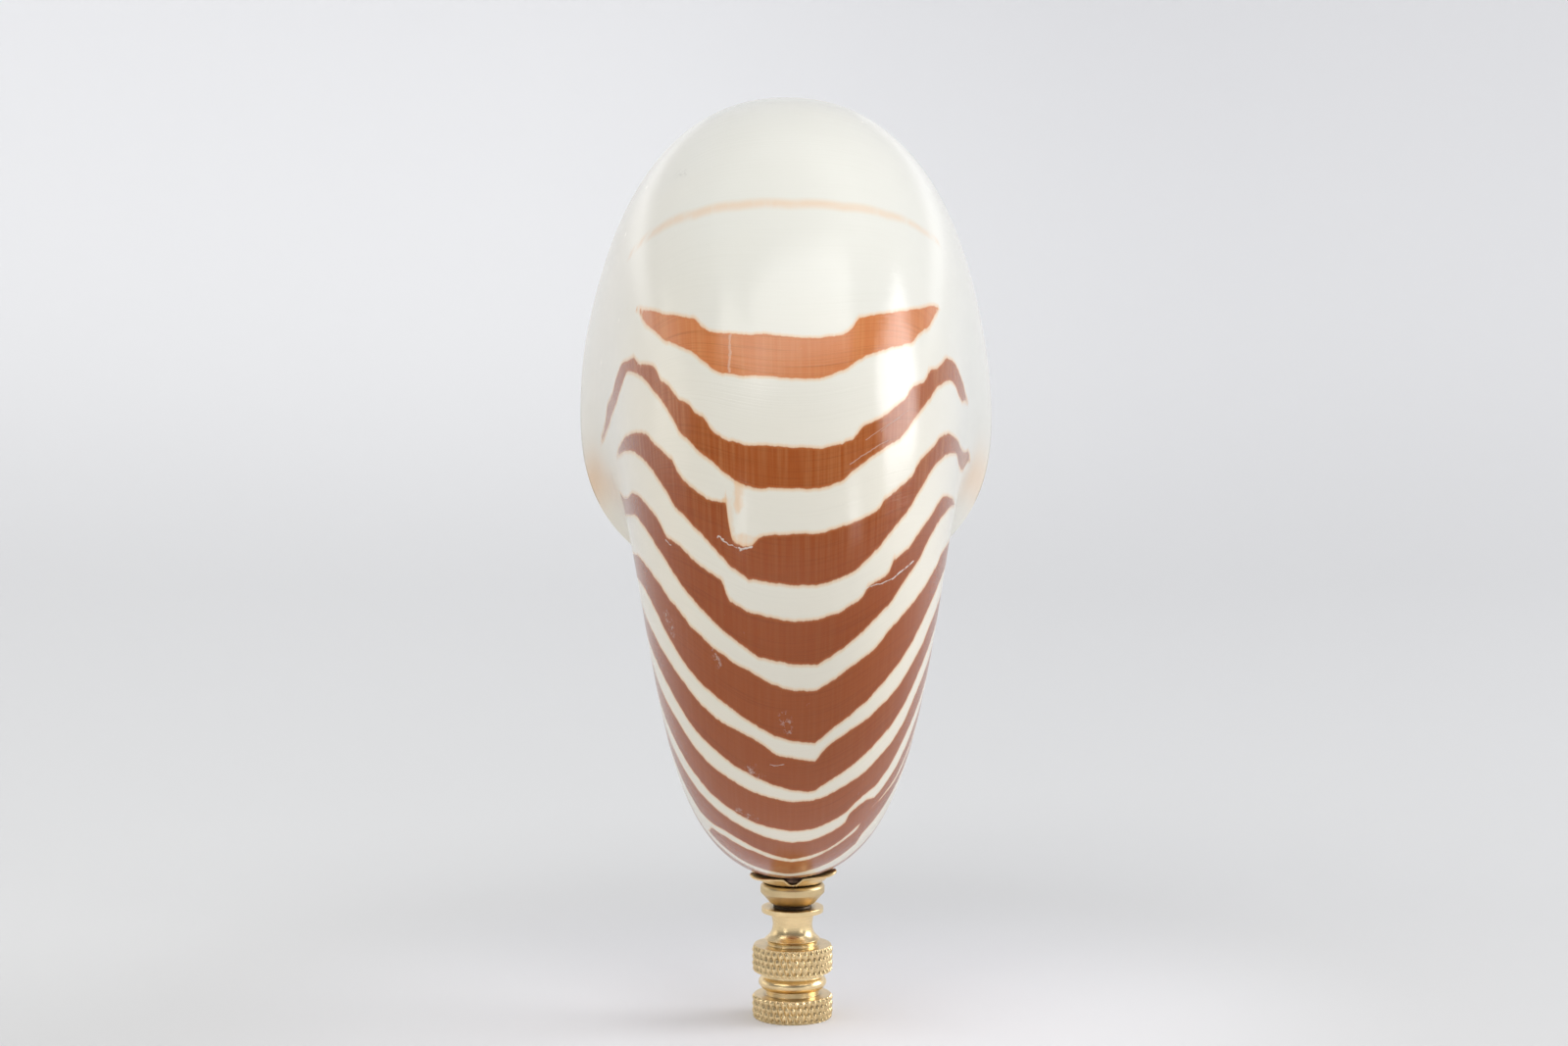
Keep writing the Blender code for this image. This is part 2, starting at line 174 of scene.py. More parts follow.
def from_axis(x, rho, angle):
    """Points at half-width x and radius rho from the coil's axis, in the half-plane at each angle."""
    turn = np.radians(angle)
    y = COIL_BACK_SHIFT - rho * np.cos(turn)
    z = COIL_HEIGHT + rho * np.sin(turn)
    return np.stack([SHELL_SIDE_SHIFT + x + 0.0 * y, y, z], axis=-1)


def skin(angle, across):
    """Outer surface of the shell on the growth line that reaches each angle."""
    angle = angle + mouth_shift(across)
    radius = whorl_radius(angle)
    x, rho = section(across)
    return from_axis(x * radius, rho * radius, angle)


def lining(angle, across):
    """Inside of the living chamber: the outline less the wall, its edges drawn in to the earlier whorl."""
    angle = angle + mouth_shift(across)
    radius = whorl_radius(angle)
    x, rho = section(across)
    side, outward = section_normal(across)
    eased = (np.abs(across) / CHAMBER_EDGE - CHAMBER_EASE_FROM) / (1.0 - CHAMBER_EASE_FROM)
    near_edge = eased.clip(0.0, 1.0) ** 3
    wall_x = x * radius - side * SHELL_WALL
    wall_rho = rho * radius - outward * SHELL_WALL
    in_x = wall_x + (x * radius / WHORL_GROWTH - wall_x) * near_edge
    in_rho = wall_rho + (rho * radius / WHORL_GROWTH - wall_rho) * near_edge
    return from_axis(in_x, in_rho, angle)


def mouth_lip(share, across):
    """Rounded edge of the mouth: half a turn from the outer skin (share 0) to the lining (share 1)."""
    outer = skin(LIP_ANGLE, across)
    inner = lining(LIP_ANGLE, across)
    ahead = skin(LIP_ANGLE + NEAR_ANGLE, across) - outer
    ahead /= np.linalg.norm(ahead, axis=-1, keepdims=True)
    width = np.linalg.norm(outer - inner, axis=-1, keepdims=True)
    bulge = np.minimum(width, SHELL_WALL) / 2 * np.sin(math.pi * share)[..., None]
    return outer + (inner - outer) * share[..., None] + ahead * bulge


def septum(share, across):
    """Last septum: from the chamber's roof (share 0) to the earlier whorl (share 1), dished backwards.

    The dish is a sine down the wall times a parabola across it, turned back about the coil's axis.
    A small funnel in its middle is the neck of the tube that joins the chambers.
    """
    start = LIP_ANGLE - CHAMBER_ANGLE
    near = lining(start, across)
    far = skin(start - 360.0, across)
    flat = near + (far - near) * share[..., None]
    hollow = np.sin(math.pi * share) * (1 - (across / CHAMBER_EDGE) ** 2)
    funnel = np.exp(-(((share - FUNNEL_AT) / FUNNEL_HEIGHT) ** 2) - (across / FUNNEL_WIDTH) ** 2)
    back = np.radians(-SEPTUM_DISH * hollow.clip(0.0) - FUNNEL_DEPTH * funnel)
    y = flat[..., 1] - COIL_BACK_SHIFT
    z = flat[..., 2] - COIL_HEIGHT
    turned_y = y * np.cos(back) + z * np.sin(back)
    turned_z = z * np.cos(back) - y * np.sin(back)
    return np.stack([flat[..., 0], turned_y + COIL_BACK_SHIFT, turned_z + COIL_HEIGHT], axis=-1)


def callus(ring, centre):
    """Rounded plug over the umbilicus: the ring drawn in to its centre, easing off towards the middle."""
    share = np.linspace(0.0, 1.0, CALLUS_ROWS + 1)[:, None, None]
    return ring[None] + (centre - ring[None]) * share ** CALLUS_POWER


# Colour bands of the shell. An edge is a chain of listed corners, each a share across the section and
# an angle in degrees, from the left flank (-) to the right one (+). Most bands sweep up towards the mouth.
ACROSS_MM = 68.0
SLOPE_REACH = 0.008
FAR_OUTSIDE = -20.0
FIELD_LIMIT = 4.0


class Band:
    """Colour band between an upper and a lower edge. depth runs from 0, orange, to 1, dark brown."""

    def __init__(self, upper, lower, depth):
        self.upper = np.array(upper).T
        self.lower = np.array(lower).T
        self.depth = depth

    def inside(self, angle, across):
        """Millimetres inside the band, negative outside it: the lesser distance to its two edges."""
        degree = np.radians(1.0) * section(across)[1] * whorl_radius(angle)
        below_upper = self.distance_below(self.upper, angle, across, degree)
        above_lower = -self.distance_below(self.lower, angle, across, degree)
        ends = self.lower[0][0], self.lower[0][-1]
        beyond = np.maximum(ends[0] - across, across - ends[1]).clip(0.0)
        return np.minimum(below_upper, above_lower) - ACROSS_MM * beyond

    @staticmethod
    def distance_below(edge, angle, across, degree):
        """Millimetres below an edge: the way up the coil to it, times the cosine of its slope there."""
        gap = (np.interp(across, *edge) - angle) * degree
        rise = np.interp(across + SLOPE_REACH, *edge) - np.interp(across - SLOPE_REACH, *edge)
        slope = rise * degree / (2 * SLOPE_REACH * ACROSS_MM)
        return gap / np.sqrt(1 + slope ** 2)


VISIBLE_BANDS = (
    Band(
        ((-0.39, 61), (-0.35, 56.8), (-0.30, 52.2), (-0.24, 48.6), (-0.212, 47.2), (-0.20, 45.6),
         (-0.18, 44.2), (-0.15, 43.1), (-0.10, 42.1), (0, 41), (0.05, 41), (0.10, 42), (0.12, 43.2),
         (0.135, 45), (0.16, 46), (0.20, 47.5), (0.26, 50.6), (0.30, 53.2), (0.33, 56), (0.372, 59.5)),
        ((-0.39, 61), (-0.36, 54.6), (-0.33, 51), (-0.30, 47.6), (-0.25, 44), (-0.22, 42.2),
         (-0.20, 40.5), (-0.175, 38.5), (-0.15, 37.5), (-0.10, 36.3), (0, 35.4), (0.05, 35.5),
         (0.10, 37), (0.15, 39.8), (0.20, 42), (0.25, 44.4), (0.28, 46.2), (0.30, 48.8), (0.33, 51.5),
         (0.372, 59.5)), 0.0),
    Band(
        ((-0.72, 93), (-0.665, 81), (-0.64, 76), (-0.60, 70.5), (-0.575, 65.5), (-0.55, 62.5),
         (-0.48, 58.6), (-0.42, 53), (-0.40, 50), (-0.345, 45.6), (-0.332, 43.8), (-0.326, 42.2),
         (-0.30, 40), (-0.27, 36.6), (-0.24, 35.1), (-0.225, 33.4), (-0.20, 32), (-0.175, 29.5),
         (-0.15, 28.3), (-0.10, 27), (0, 26.3), (0.05, 26.3), (0.10, 27.2), (0.13, 28.2), (0.15, 30),
         (0.20, 32.1), (0.25, 35.4), (0.272, 36.9), (0.28, 38.6), (0.30, 40), (0.33, 42), (0.345, 45),
         (0.37, 46.6), (0.40, 50), (0.407, 52), (0.46, 56), (0.50, 58), (0.54, 60.6), (0.58, 65)),
        ((-0.72, 93), (-0.68, 81), (-0.65, 74), (-0.60, 64.5), (-0.57, 60), (-0.54, 57), (-0.50, 55),
         (-0.46, 54), (-0.42, 50), (-0.38, 45), (-0.32, 38), (-0.27, 31.5), (-0.22, 27.8),
         (-0.15, 23.6), (-0.12, 22.2), (-0.08, 21.1), (0, 21), (0.05, 21), (0.10, 22.2), (0.15, 25),
         (0.25, 30), (0.28, 32.5), (0.35, 40), (0.38, 44), (0.44, 50), (0.47, 52), (0.50, 53),
         (0.53, 55.5), (0.58, 65)), 0.80),
    Band(
        ((-0.61, 52), (-0.55, 46.5), (-0.50, 43), (-0.45, 39.6), (-0.39, 35.6), (-0.36, 32.5),
         (-0.30, 28), (-0.292, 26.6), (-0.27, 24.5), (-0.24, 22.5), (-0.20, 20.5), (-0.17, 20),
         (-0.151, 19.5), (-0.149, 16.4), (-0.138, 14.5), (-0.118, 13.6), (-0.092, 13.5), (-0.07, 14.8),
         (0, 15), (0.05, 15.1), (0.10, 16), (0.15, 17.3), (0.20, 19.2), (0.215, 20.8), (0.25, 22.5),
         (0.30, 25.5), (0.33, 29), (0.38, 33), (0.40, 35.5), (0.45, 39.5), (0.50, 42.5), (0.57, 47.6),
         (0.60, 52), (0.65, 63), (0.70, 76), (0.75, 90)),
        ((-0.61, 52), (-0.57, 46), (-0.50, 39.5), (-0.45, 35.5), (-0.40, 31), (-0.30, 20.8),
         (-0.20, 14.4), (-0.15, 11.2), (-0.10, 9), (0, 8), (0.05, 8.1), (0.10, 9), (0.14, 10.2),
         (0.20, 13.5), (0.30, 20.8), (0.40, 31), (0.50, 39), (0.53, 41.5), (0.57, 43), (0.60, 46.5),
         (0.65, 55), (0.70, 65), (0.75, 90)), 0.95),
    Band(
        ((-0.92, 82), (-0.76, 64), (-0.70, 52), (-0.65, 45), (-0.60, 36.5), (-0.55, 32), (-0.50, 30),
         (-0.45, 26.5), (-0.40, 22.5), (-0.36, 19), (-0.34, 16.6), (-0.30, 15), (-0.25, 12),
         (-0.17, 8.9), (-0.160, 7.8), (-0.158, 6.6), (-0.14, 5.5), (-0.10, 4.2), (0, 3), (0.05, 3.3),
         (0.10, 4.2), (0.15, 5.9), (0.17, 6.9), (0.18, 8.2), (0.23, 9.5), (0.244, 10.5), (0.25, 12),
         (0.30, 14.2), (0.35, 18), (0.40, 22), (0.45, 26.6), (0.50, 29), (0.60, 34)),
        ((-0.92, 82), (-0.76, 52), (-0.70, 43), (-0.60, 31.7), (-0.55, 27.6), (-0.50, 25), (-0.45, 21),
         (-0.40, 17), (-0.35, 12.6), (-0.30, 8.8), (-0.25, 5.5), (-0.20, 2.8), (-0.15, 0.5),
         (-0.11, -1.1), (-0.08, -2.3), (0, -3.3), (0.05, -3.4), (0.10, -1.6), (0.15, 0.4), (0.20, 3),
         (0.25, 5.6), (0.30, 9.4), (0.35, 13), (0.40, 18), (0.45, 22.5), (0.50, 26), (0.60, 34)), 0.95),
    Band(
        ((-1, 42), (-0.85, 33), (-0.70, 24.5), (-0.60, 19.5), (-0.50, 15.3), (-0.40, 9.5), (-0.35, 6.1),
         (-0.30, 3.5), (-0.275, 1.6), (-0.25, 0.8), (-0.20, -1.5), (-0.15, -3.3), (-0.10, -4.7),
         (-0.05, -6.4), (0, -7.5), (0.05, -7.5), (0.10, -5.8), (0.13, -4.3), (0.20, -2), (0.25, 1),
         (0.35, 6), (0.40, 9), (0.45, 12.5), (0.48, 15.5), (0.55, 20), (0.70, 30), (1, 46)),
        ((-1, 30), (-0.85, 22), (-0.70, 15.5), (-0.60, 12.6), (-0.50, 8.8), (-0.45, 5.5), (-0.40, 1.6),
         (-0.35, -2.4), (-0.30, -5.5), (-0.25, -8), (-0.15, -11.5), (-0.05, -15), (0, -16.2),
         (0.05, -16.6), (0.10, -14), (0.20, -10), (0.30, -5), (0.35, -1.8), (0.45, 6), (0.50, 10),
         (0.60, 17), (0.75, 26), (1, 37)), 0.9),
    Band(
        ((-1, 25), (-0.80, 16), (-0.60, 5.5), (-0.50, 0.2), (-0.45, -2.5), (-0.40, -5), (-0.30, -10),
         (-0.25, -12.3), (-0.20, -14), (-0.10, -16), (-0.07, -17.2), (-0.04, -18.8), (0.02, -19.7),
         (0.05, -20.3), (0.06, -19.3), (0.08, -17.7), (0.10, -16.7), (0.15, -15), (0.20, -13.7),
         (0.30, -10), (0.35, -7), (0.40, -4), (0.45, 0), (0.50, 3.5), (0.70, 15), (1, 28)),
        ((-1, 14), (-0.80, 6), (-0.60, -3), (-0.50, -7), (-0.45, -9.4), (-0.40, -12), (-0.30, -17.5),
         (-0.25, -19.5), (-0.15, -22.5), (-0.05, -25), (0, -26.2), (0.045, -26.8), (0.10, -24.5),
         (0.20, -21), (0.30, -17), (0.35, -14), (0.40, -10), (0.50, -3), (0.70, 8), (1, 20)), 0.9),
    Band(
        ((-1, 9), (-0.80, 1), (-0.60, -9), (-0.50, -14), (-0.45, -16.3), (-0.35, -20), (-0.30, -22.4),
         (-0.25, -24.3), (-0.10, -27.5), (0, -29), (0.05, -28.8), (0.10, -27.8), (0.20, -25.3),
         (0.30, -21.8), (0.35, -19.3), (0.40, -15), (0.50, -9), (0.70, 2), (1, 12)),
        ((-1, 0), (-0.80, -9), (-0.60, -18), (-0.50, -22.5), (-0.45, -24.7), (-0.35, -29),
         (-0.25, -32.5), (-0.10, -35.7), (0, -37), (0.05, -36.7), (0.10, -35.6), (0.15, -34.2),
         (0.18, -32.5), (0.20, -31.7), (0.25, -31), (0.30, -28.7), (0.40, -22), (0.50, -16), (0.70, -6),
         (1, 4)), 0.85),
    Band(
        ((-1, -6), (-0.80, -13), (-0.60, -24), (-0.45, -31), (-0.40, -32.6), (-0.30, -35.5),
         (-0.10, -39), (0, -41), (0.05, -40.6), (0.10, -39.3), (0.15, -37.7), (0.157, -35.4),
         (0.18, -34.3), (0.22, -33.6), (0.25, -34.9), (0.30, -33.3), (0.35, -31), (0.50, -21),
         (0.70, -12), (1, -3)),
        ((-1, -15), (-0.80, -22), (-0.60, -31.5), (-0.45, -38.2), (-0.35, -42.6), (-0.30, -44.8),
         (-0.25, -44.5), (-0.20, -43.3), (-0.15, -43.6), (-0.06, -46), (0, -48), (0.10, -45.5),
         (0.20, -41.2), (0.24, -38), (0.35, -36), (0.50, -28), (0.70, -19), (1, -11)), 0.85),
    Band(
        ((-0.275, -52), (-0.255, -47.3), (-0.20, -46), (-0.10, -46.7), (-0.05, -48.3), (0, -49.4),
         (0.05, -48.5), (0.10, -46.5), (0.20, -42.7), (0.22, -38), (0.35, -37.5), (0.50, -31),
         (0.70, -23), (1, -15)),
        ((-0.275, -52), (-0.20, -54), (0, -58), (0.05, -56), (0.20, -50.5), (0.22, -46.8), (0.30, -44),
         (0.50, -36), (0.70, -28), (1, -21)), 0.85),
)
GROWTH_MARK = Band(
    ((-0.40, 78), (-0.30, 71.2), (-0.20, 66.3), (-0.10, 63.6), (0, 62.4), (0.10, 63.2), (0.20, 66),
     (0.30, 70.8), (0.36, 75)),
    ((-0.40, 77), (-0.30, 69.7), (-0.20, 64.7), (-0.10, 62.1), (0, 61), (0.10, 61.9), (0.20, 64.8),
     (0.30, 69.9), (0.36, 74.5)),
    0.0)
HIDDEN_FROM = -66.0
HIDDEN_SPACING = 11.0
HIDDEN_STEP = (0.92, 1.08)
HIDDEN_CLIMB = (30.0, 38.0)
HIDDEN_CLIMB_POWER = 1.3
HIDDEN_HALF_WIDTH = (0.25, 0.36)
HIDDEN_UPPER_WOBBLE = 1.1
HIDDEN_LOWER_WOBBLE = 0.8
HIDDEN_DEPTH = 0.8
HIDDEN_SHARES = np.array((-1.0, -0.8, -0.6, -0.45, -0.3, -0.15, 0.0, 0.15, 0.3, 0.45, 0.6, 0.8, 1.0))


def hidden_bands():
    """Bands of the older half, nearly evenly spaced down and round to the back, each a little different.

    Both edges climb with a power of the share across; every corner is moved a little by chance.
    """
    chance = np.random.default_rng(SEED)
    bands = []
    angle = HIDDEN_FROM
    while angle > LIP_ANGLE - 360.0 - MOUTH_NOTCH:
        climb = chance.uniform(*HIDDEN_CLIMB) * np.abs(HIDDEN_SHARES) ** HIDDEN_CLIMB_POWER
        half = HIDDEN_SPACING * chance.uniform(*HIDDEN_HALF_WIDTH)
        upper = angle + climb + half
        upper += chance.uniform(-HIDDEN_UPPER_WOBBLE, HIDDEN_UPPER_WOBBLE, HIDDEN_SHARES.shape)
        lower = angle + climb - half
        lower += chance.uniform(-HIDDEN_LOWER_WOBBLE, HIDDEN_LOWER_WOBBLE, HIDDEN_SHARES.shape)
        bands.append(Band(list(zip(HIDDEN_SHARES, upper)), list(zip(HIDDEN_SHARES, lower)), HIDDEN_DEPTH))
        angle -= HIDDEN_SPACING * chance.uniform(*HIDDEN_STEP)
    return bands


def band_fields(growth, across):
    """For each point: millimetres inside the nearest band, that band's depth, and the faint mark."""
    angle = growth + mouth_shift(across)
    inside = np.full(angle.shape, FAR_OUTSIDE)
    depth = np.zeros(angle.shape)
    for band in VISIBLE_BANDS + tuple(hidden_bands()):
        here = band.inside(angle, across)
        depth = np.where(here > inside, band.depth, depth)
        inside = np.maximum(inside, here)
    return inside, depth, GROWTH_MARK.inside(angle, across)


BLUSH_AT = 0.79
BLUSH_SPREAD = 0.06
BLUSH_FROM = 40.0
BLUSH_GROWS_OVER = 65.0
BLUSH_RIGHT_SHARE = 0.6


def umbilical_blush(growth, across):
    """Orange stain round the umbilicus: a bell across the flank times the square of a ramp up the coil."""
    angle = growth + mouth_shift(across)
    side = np.exp(-(((np.abs(across) - BLUSH_AT) / BLUSH_SPREAD) ** 2))
    along = ((angle - BLUSH_FROM) / BLUSH_GROWS_OVER).clip(0.0, 1.0)
    return side * along * along * np.where(across < 0, 1.0, BLUSH_RIGHT_SHARE)


# Meshes.


def quads(rows, columns, first):
    """Corner numbers of a grid's cells, for points stored row by row from number first."""
    number = first + np.arange(rows * columns).reshape(rows, columns)
    corners = [number[:-1, :-1], number[:-1, 1:], number[1:, 1:], number[1:, :-1]]
    return np.stack(corners, axis=-1).reshape(-1, 4)


def make_piece(name, patches, finish, stands_for, values=(), sharp=35.0, weld=0.002):
    """One closed mesh from grids of points in millimetres, welded where they meet.

    values is a list of (attribute name, one array a patch). Cells that shrink to a line are dropped,
    and those at a pole become triangles.
    """
    points = np.concatenate([patch.reshape(-1, 3) for patch in patches])
    first = np.cumsum([0] + [patch.shape[0] * patch.shape[1] for patch in patches])
    cells = [quads(patch.shape[0], patch.shape[1], start) for patch, start in zip(patches, first)]
    key = np.round(points / weld).astype(np.int64)
    _, kept, number = np.unique(key, axis=0, return_index=True, return_inverse=True)
    corners = number.reshape(-1)[np.concatenate(cells)]
    distinct = corners != np.roll(corners, -1, axis=1)
    size = distinct.sum(axis=1)
    whole = size >= 3
    corners = corners[whole]
    distinct = distinct[whole]
    size = size[whole]
    mesh = bpy.data.meshes.new(name)
    mesh.vertices.add(len(kept))
    mesh.vertices.foreach_set("co", (points[kept] * MM).astype(np.float32).ravel())
    mesh.loops.add(int(size.sum()))
    mesh.loops.foreach_set("vertex_index", corners[distinct].astype(np.int32))
    mesh.polygons.add(len(size))
    mesh.polygons.foreach_set("loop_start", (np.cumsum(size) - size).astype(np.int32))
    mesh.update(calc_edges=True)
    mesh.validate()
    for label, arrays in values:
        flat = np.concatenate([array.ravel() for array in arrays])[kept]
        mesh.attributes.new(label, "FLOAT", "POINT").data.foreach_set("value", flat.astype(np.float32))
    shape = bmesh.new()
    shape.from_mesh(mesh)
    bmesh.ops.recalc_face_normals(shape, faces=shape.faces)
    shape.to_mesh(mesh)
    shape.free()
    mesh.materials.append(finish)
    mesh.shade_smooth()
    mesh.set_sharp_from_angle(angle=math.radians(sharp))
    made = bpy.data.objects.new(name, mesh)
    bpy.context.scene.collection.objects.link(made)
    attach(made, BODY)
    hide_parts(stands_for)


def shares(steps):
    """Evenly spaced shares from 0 to 1."""
    return np.linspace(0.0, 1.0, steps + 1)


def grid(rows, columns):
    """Two arrays with a row for each of the first values and a column for each of the second."""
    return np.meshgrid(rows, columns, indexing="ij")


def shell_across():
    """Places across the section: all of them, and those between the chamber's edges alone."""
    inside = CHAMBER_EDGE * np.linspace(-1.0, 1.0, SECTION_COLUMNS + 1)
    beyond = np.linspace(CHAMBER_EDGE, 1.0, UMBILICAL_COLUMNS + 1)[1:]
    return np.concatenate([-beyond[::-1], inside, beyond]), inside


def shell_growth():
    """Angles of the rows along the outer skin, closer together over the striped front."""
    start = LIP_ANGLE - 360.0
    share = (FRONT_FROM - start) / (FRONT_FROM - start + LIP_ANGLE - FRONT_TO)
    below = round(BACK_ROWS * share)
    low = np.linspace(start, FRONT_FROM, below + 1)
    front = np.linspace(FRONT_FROM, FRONT_TO, FRONT_ROWS + 1)[1:]
    high = np.linspace(FRONT_TO, LIP_ANGLE, BACK_ROWS - below + 1)[1:]
    return np.concatenate([low, front, high])


def callus_ring(side, growth, across):
    """Closed edge round one callus: along the coil, out along the mouth, over the lip and back."""
    beyond = np.sort(np.abs(across[side * across > CHAMBER_EDGE - 1e-9]))
    rows = shares(LIP_ROWS)[1:]
    edge = np.full(LIP_ROWS, side * CHAMBER_EDGE)
    coil = skin(growth, np.full(len(growth), float(side)))
    mouth = skin(LIP_ANGLE, side * beyond[::-1][1:])
    over = mouth_lip(rows, edge)
    seat = skin(LIP_ANGLE - 360.0, side * beyond[1:])
    return np.concatenate([coil, mouth, over, seat])


def build_shell(finish):
    """Skin, chamber, earlier whorl, lip, septum and calluses, with the values that the finish reads."""
    across, inside = shell_across()
    growth = shell_growth()
    start = LIP_ANGLE - CHAMBER_ANGLE
    chamber = np.linspace(start, LIP_ANGLE, CHAMBER_ROWS + 1)
    patches = []
    stores = []

    def add(points, angle, place, nacre):
        shape = points.shape[:2]
        patches.append(points)
        stores.append([np.broadcast_to(value, shape) for value in (angle, place, nacre)])

    angle, place = grid(growth, across)
    add(skin(angle, place), angle, place, 0.0)
    angle, place = grid(chamber, inside)
    add(lining(angle, place), angle, place, 1.0)
    earlier = angle - 360.0
    add(skin(earlier, place), earlier, place, ((LIP_ANGLE - angle) / NACRE_FADE).clip(0.0, 1.0))
    share, place = grid(shares(LIP_ROWS), inside)
    add(mouth_lip(share, place), LIP_ANGLE, place, share)
    share, place = grid(shares(SEPTUM_ROWS), inside)
    add(septum(share, place), start, place, 1.0)
    for side in (-1, 1):
        ring = callus_ring(side, growth, across)
        centre = from_axis(side * CALLUS_SHARE * whorl_radius(LIP_ANGLE), 0.0, 0.0)
        add(callus(ring, centre), CALLUS_GROWTH, float(side), CALLUS_NACRE)
    fields = [band_fields(angle, place) for angle, place, _ in stores]
    values = [
        ("growth", [store[0] for store in stores]),
        ("across", [store[1] for store in stores]),
        ("nacre", [store[2] for store in stores]),
        ("band", [np.clip(field[0], -FIELD_LIMIT, FIELD_LIMIT) for field in fields]),
        ("band_depth", [field[1] for field in fields]),
        ("growth_mark", [np.clip(field[2], -FIELD_LIMIT, FIELD_LIMIT) for field in fields]),
        ("blush", [umbilical_blush(store[0], store[1]) for store in stores]),
        ("angle", [store[0] + mouth_shift(store[1]) for store in stores]),
    ]
    make_piece("polished_nautilus", patches, finish, "nautilus_shell", values, sharp=60.0)


# Turned brass. Profiles are lists of (radius, height) corners, in millimetres.
KNURL_RADIUS = reach_of("knurled_base")
FOOT_RING_TOP = 3.7
BEAD_FOOT = 4.65
BEAD_TOP = 6.7
TOP_RING_FOOT = 7.45
TOP_RING_TOP = 11.65
COLLET_TOP = 12.55
FLANGE_FOOT = 16.85
BASE_TOP = top_of("knurled_base")
FLANGE_RADIUS = 4.87
NECK_RADIUS = 3.1
NECK_WAIST = 14.9
NECK_BOW = 0.08
FLARE_RADIUS = 4.35
COLLET_RADIUS = 3.9
BEAD_RADIUS = 5.35
LOWER_GROOVE_RADIUS = 4.15
UPPER_GROOVE_RADIUS = 4.7
EDGE_CHAMFER = 0.3
SOCKET_RADIUS = 3.2
SOCKET_DEPTH = 9.5
SOCKET_PITCH = 0.94
SOCKET_THREAD_DEPTH = 0.35
STUD_RADIUS = 1.9
STUD_HOLE_RADIUS = 2.02
STUD_ROOT = 4.0
KNURL_TEETH = 36
KNURL_STEP = 2.16
KNURL_DEPTH = 0.42
AROUND_TOOTH = 10
LEFT_FLAT = 1.08
RIGHT_FLAT = 1.45
CUT_FADE_POWER = 0.6
EDGE_ROUNDING = 0.10
PROFILE_STEP = 0.8
FINE_STEP = 0.21
THREAD_END = 0.2


def arc(start, end, bulge, steps):
    """Points after start up to end, bowed by a sine of height bulge to the left of the way there."""
    t = shares(steps)[1:, None]
    start = np.array(start)
    way = np.array(end) - start
    side = np.array([-way[1], way[0]]) / np.hypot(*way)
    return [tuple(point) for point in start + way * t + side * bulge * np.sin(math.pi * t)]


def softened(corners, radius, spacing, fine_radii=(), fine_spacing=1.0):
    """Profile with each corner cut by a short parabola, and straight stretches split at the spacing.

    Upright stretches at one of the fine radii are split at the fine spacing instead.
    """
    corners = np.array(corners, dtype=float)
    rows = [corners[:1]]
    for before, corner, after in zip(corners[:-2], corners[1:-1], corners[2:]):
        back = before - corner
        on = after - corner
        cut_back = min(radius, np.hypot(*back) / 2)
        cut_on = min(radius, np.hypot(*on) / 2)
        start = corner + back / np.hypot(*back) * cut_back
        end = corner + on / np.hypot(*on) * cut_on
        t = shares(3)[:, None]
        rows.append((1 - t) ** 2 * start + 2 * t * (1 - t) * corner + t ** 2 * end)
    rows.append(corners[-1:])
    line = np.concatenate(rows)
    dense = [line[:1]]
    for a, b in zip(line[:-1], line[1:]):
        upright = any(abs(a[0] - at) + abs(b[0] - at) < 0.001 for at in fine_radii)
        parts = max(1, math.ceil(np.hypot(*(b - a)) / (fine_spacing if upright else spacing)))
        dense.append(a + (b - a) * shares(parts)[1:, None])
    return np.concatenate(dense)


def full_turn(sides):
    """Angles of one full turn, the last the same as the first."""
    angle = np.linspace(0.0, 2 * math.pi, sides + 1)
    angle[-1] = 0.0
    return angle


def turn_profile(profile, sides, relief=None):
    """Carry a profile round the Z axis. relief(radius, height, angle) gives each point's final radius."""
    angle = full_turn(sides)[None, :]
    radius = np.broadcast_to(profile[:, :1], (len(profile), sides + 1))
    height = np.broadcast_to(profile[:, 1:], radius.shape)
    if relief is not None:
        radius = relief(radius, height, angle)
    return np.stack([radius * np.cos(angle), radius * np.sin(angle), height], axis=-1)


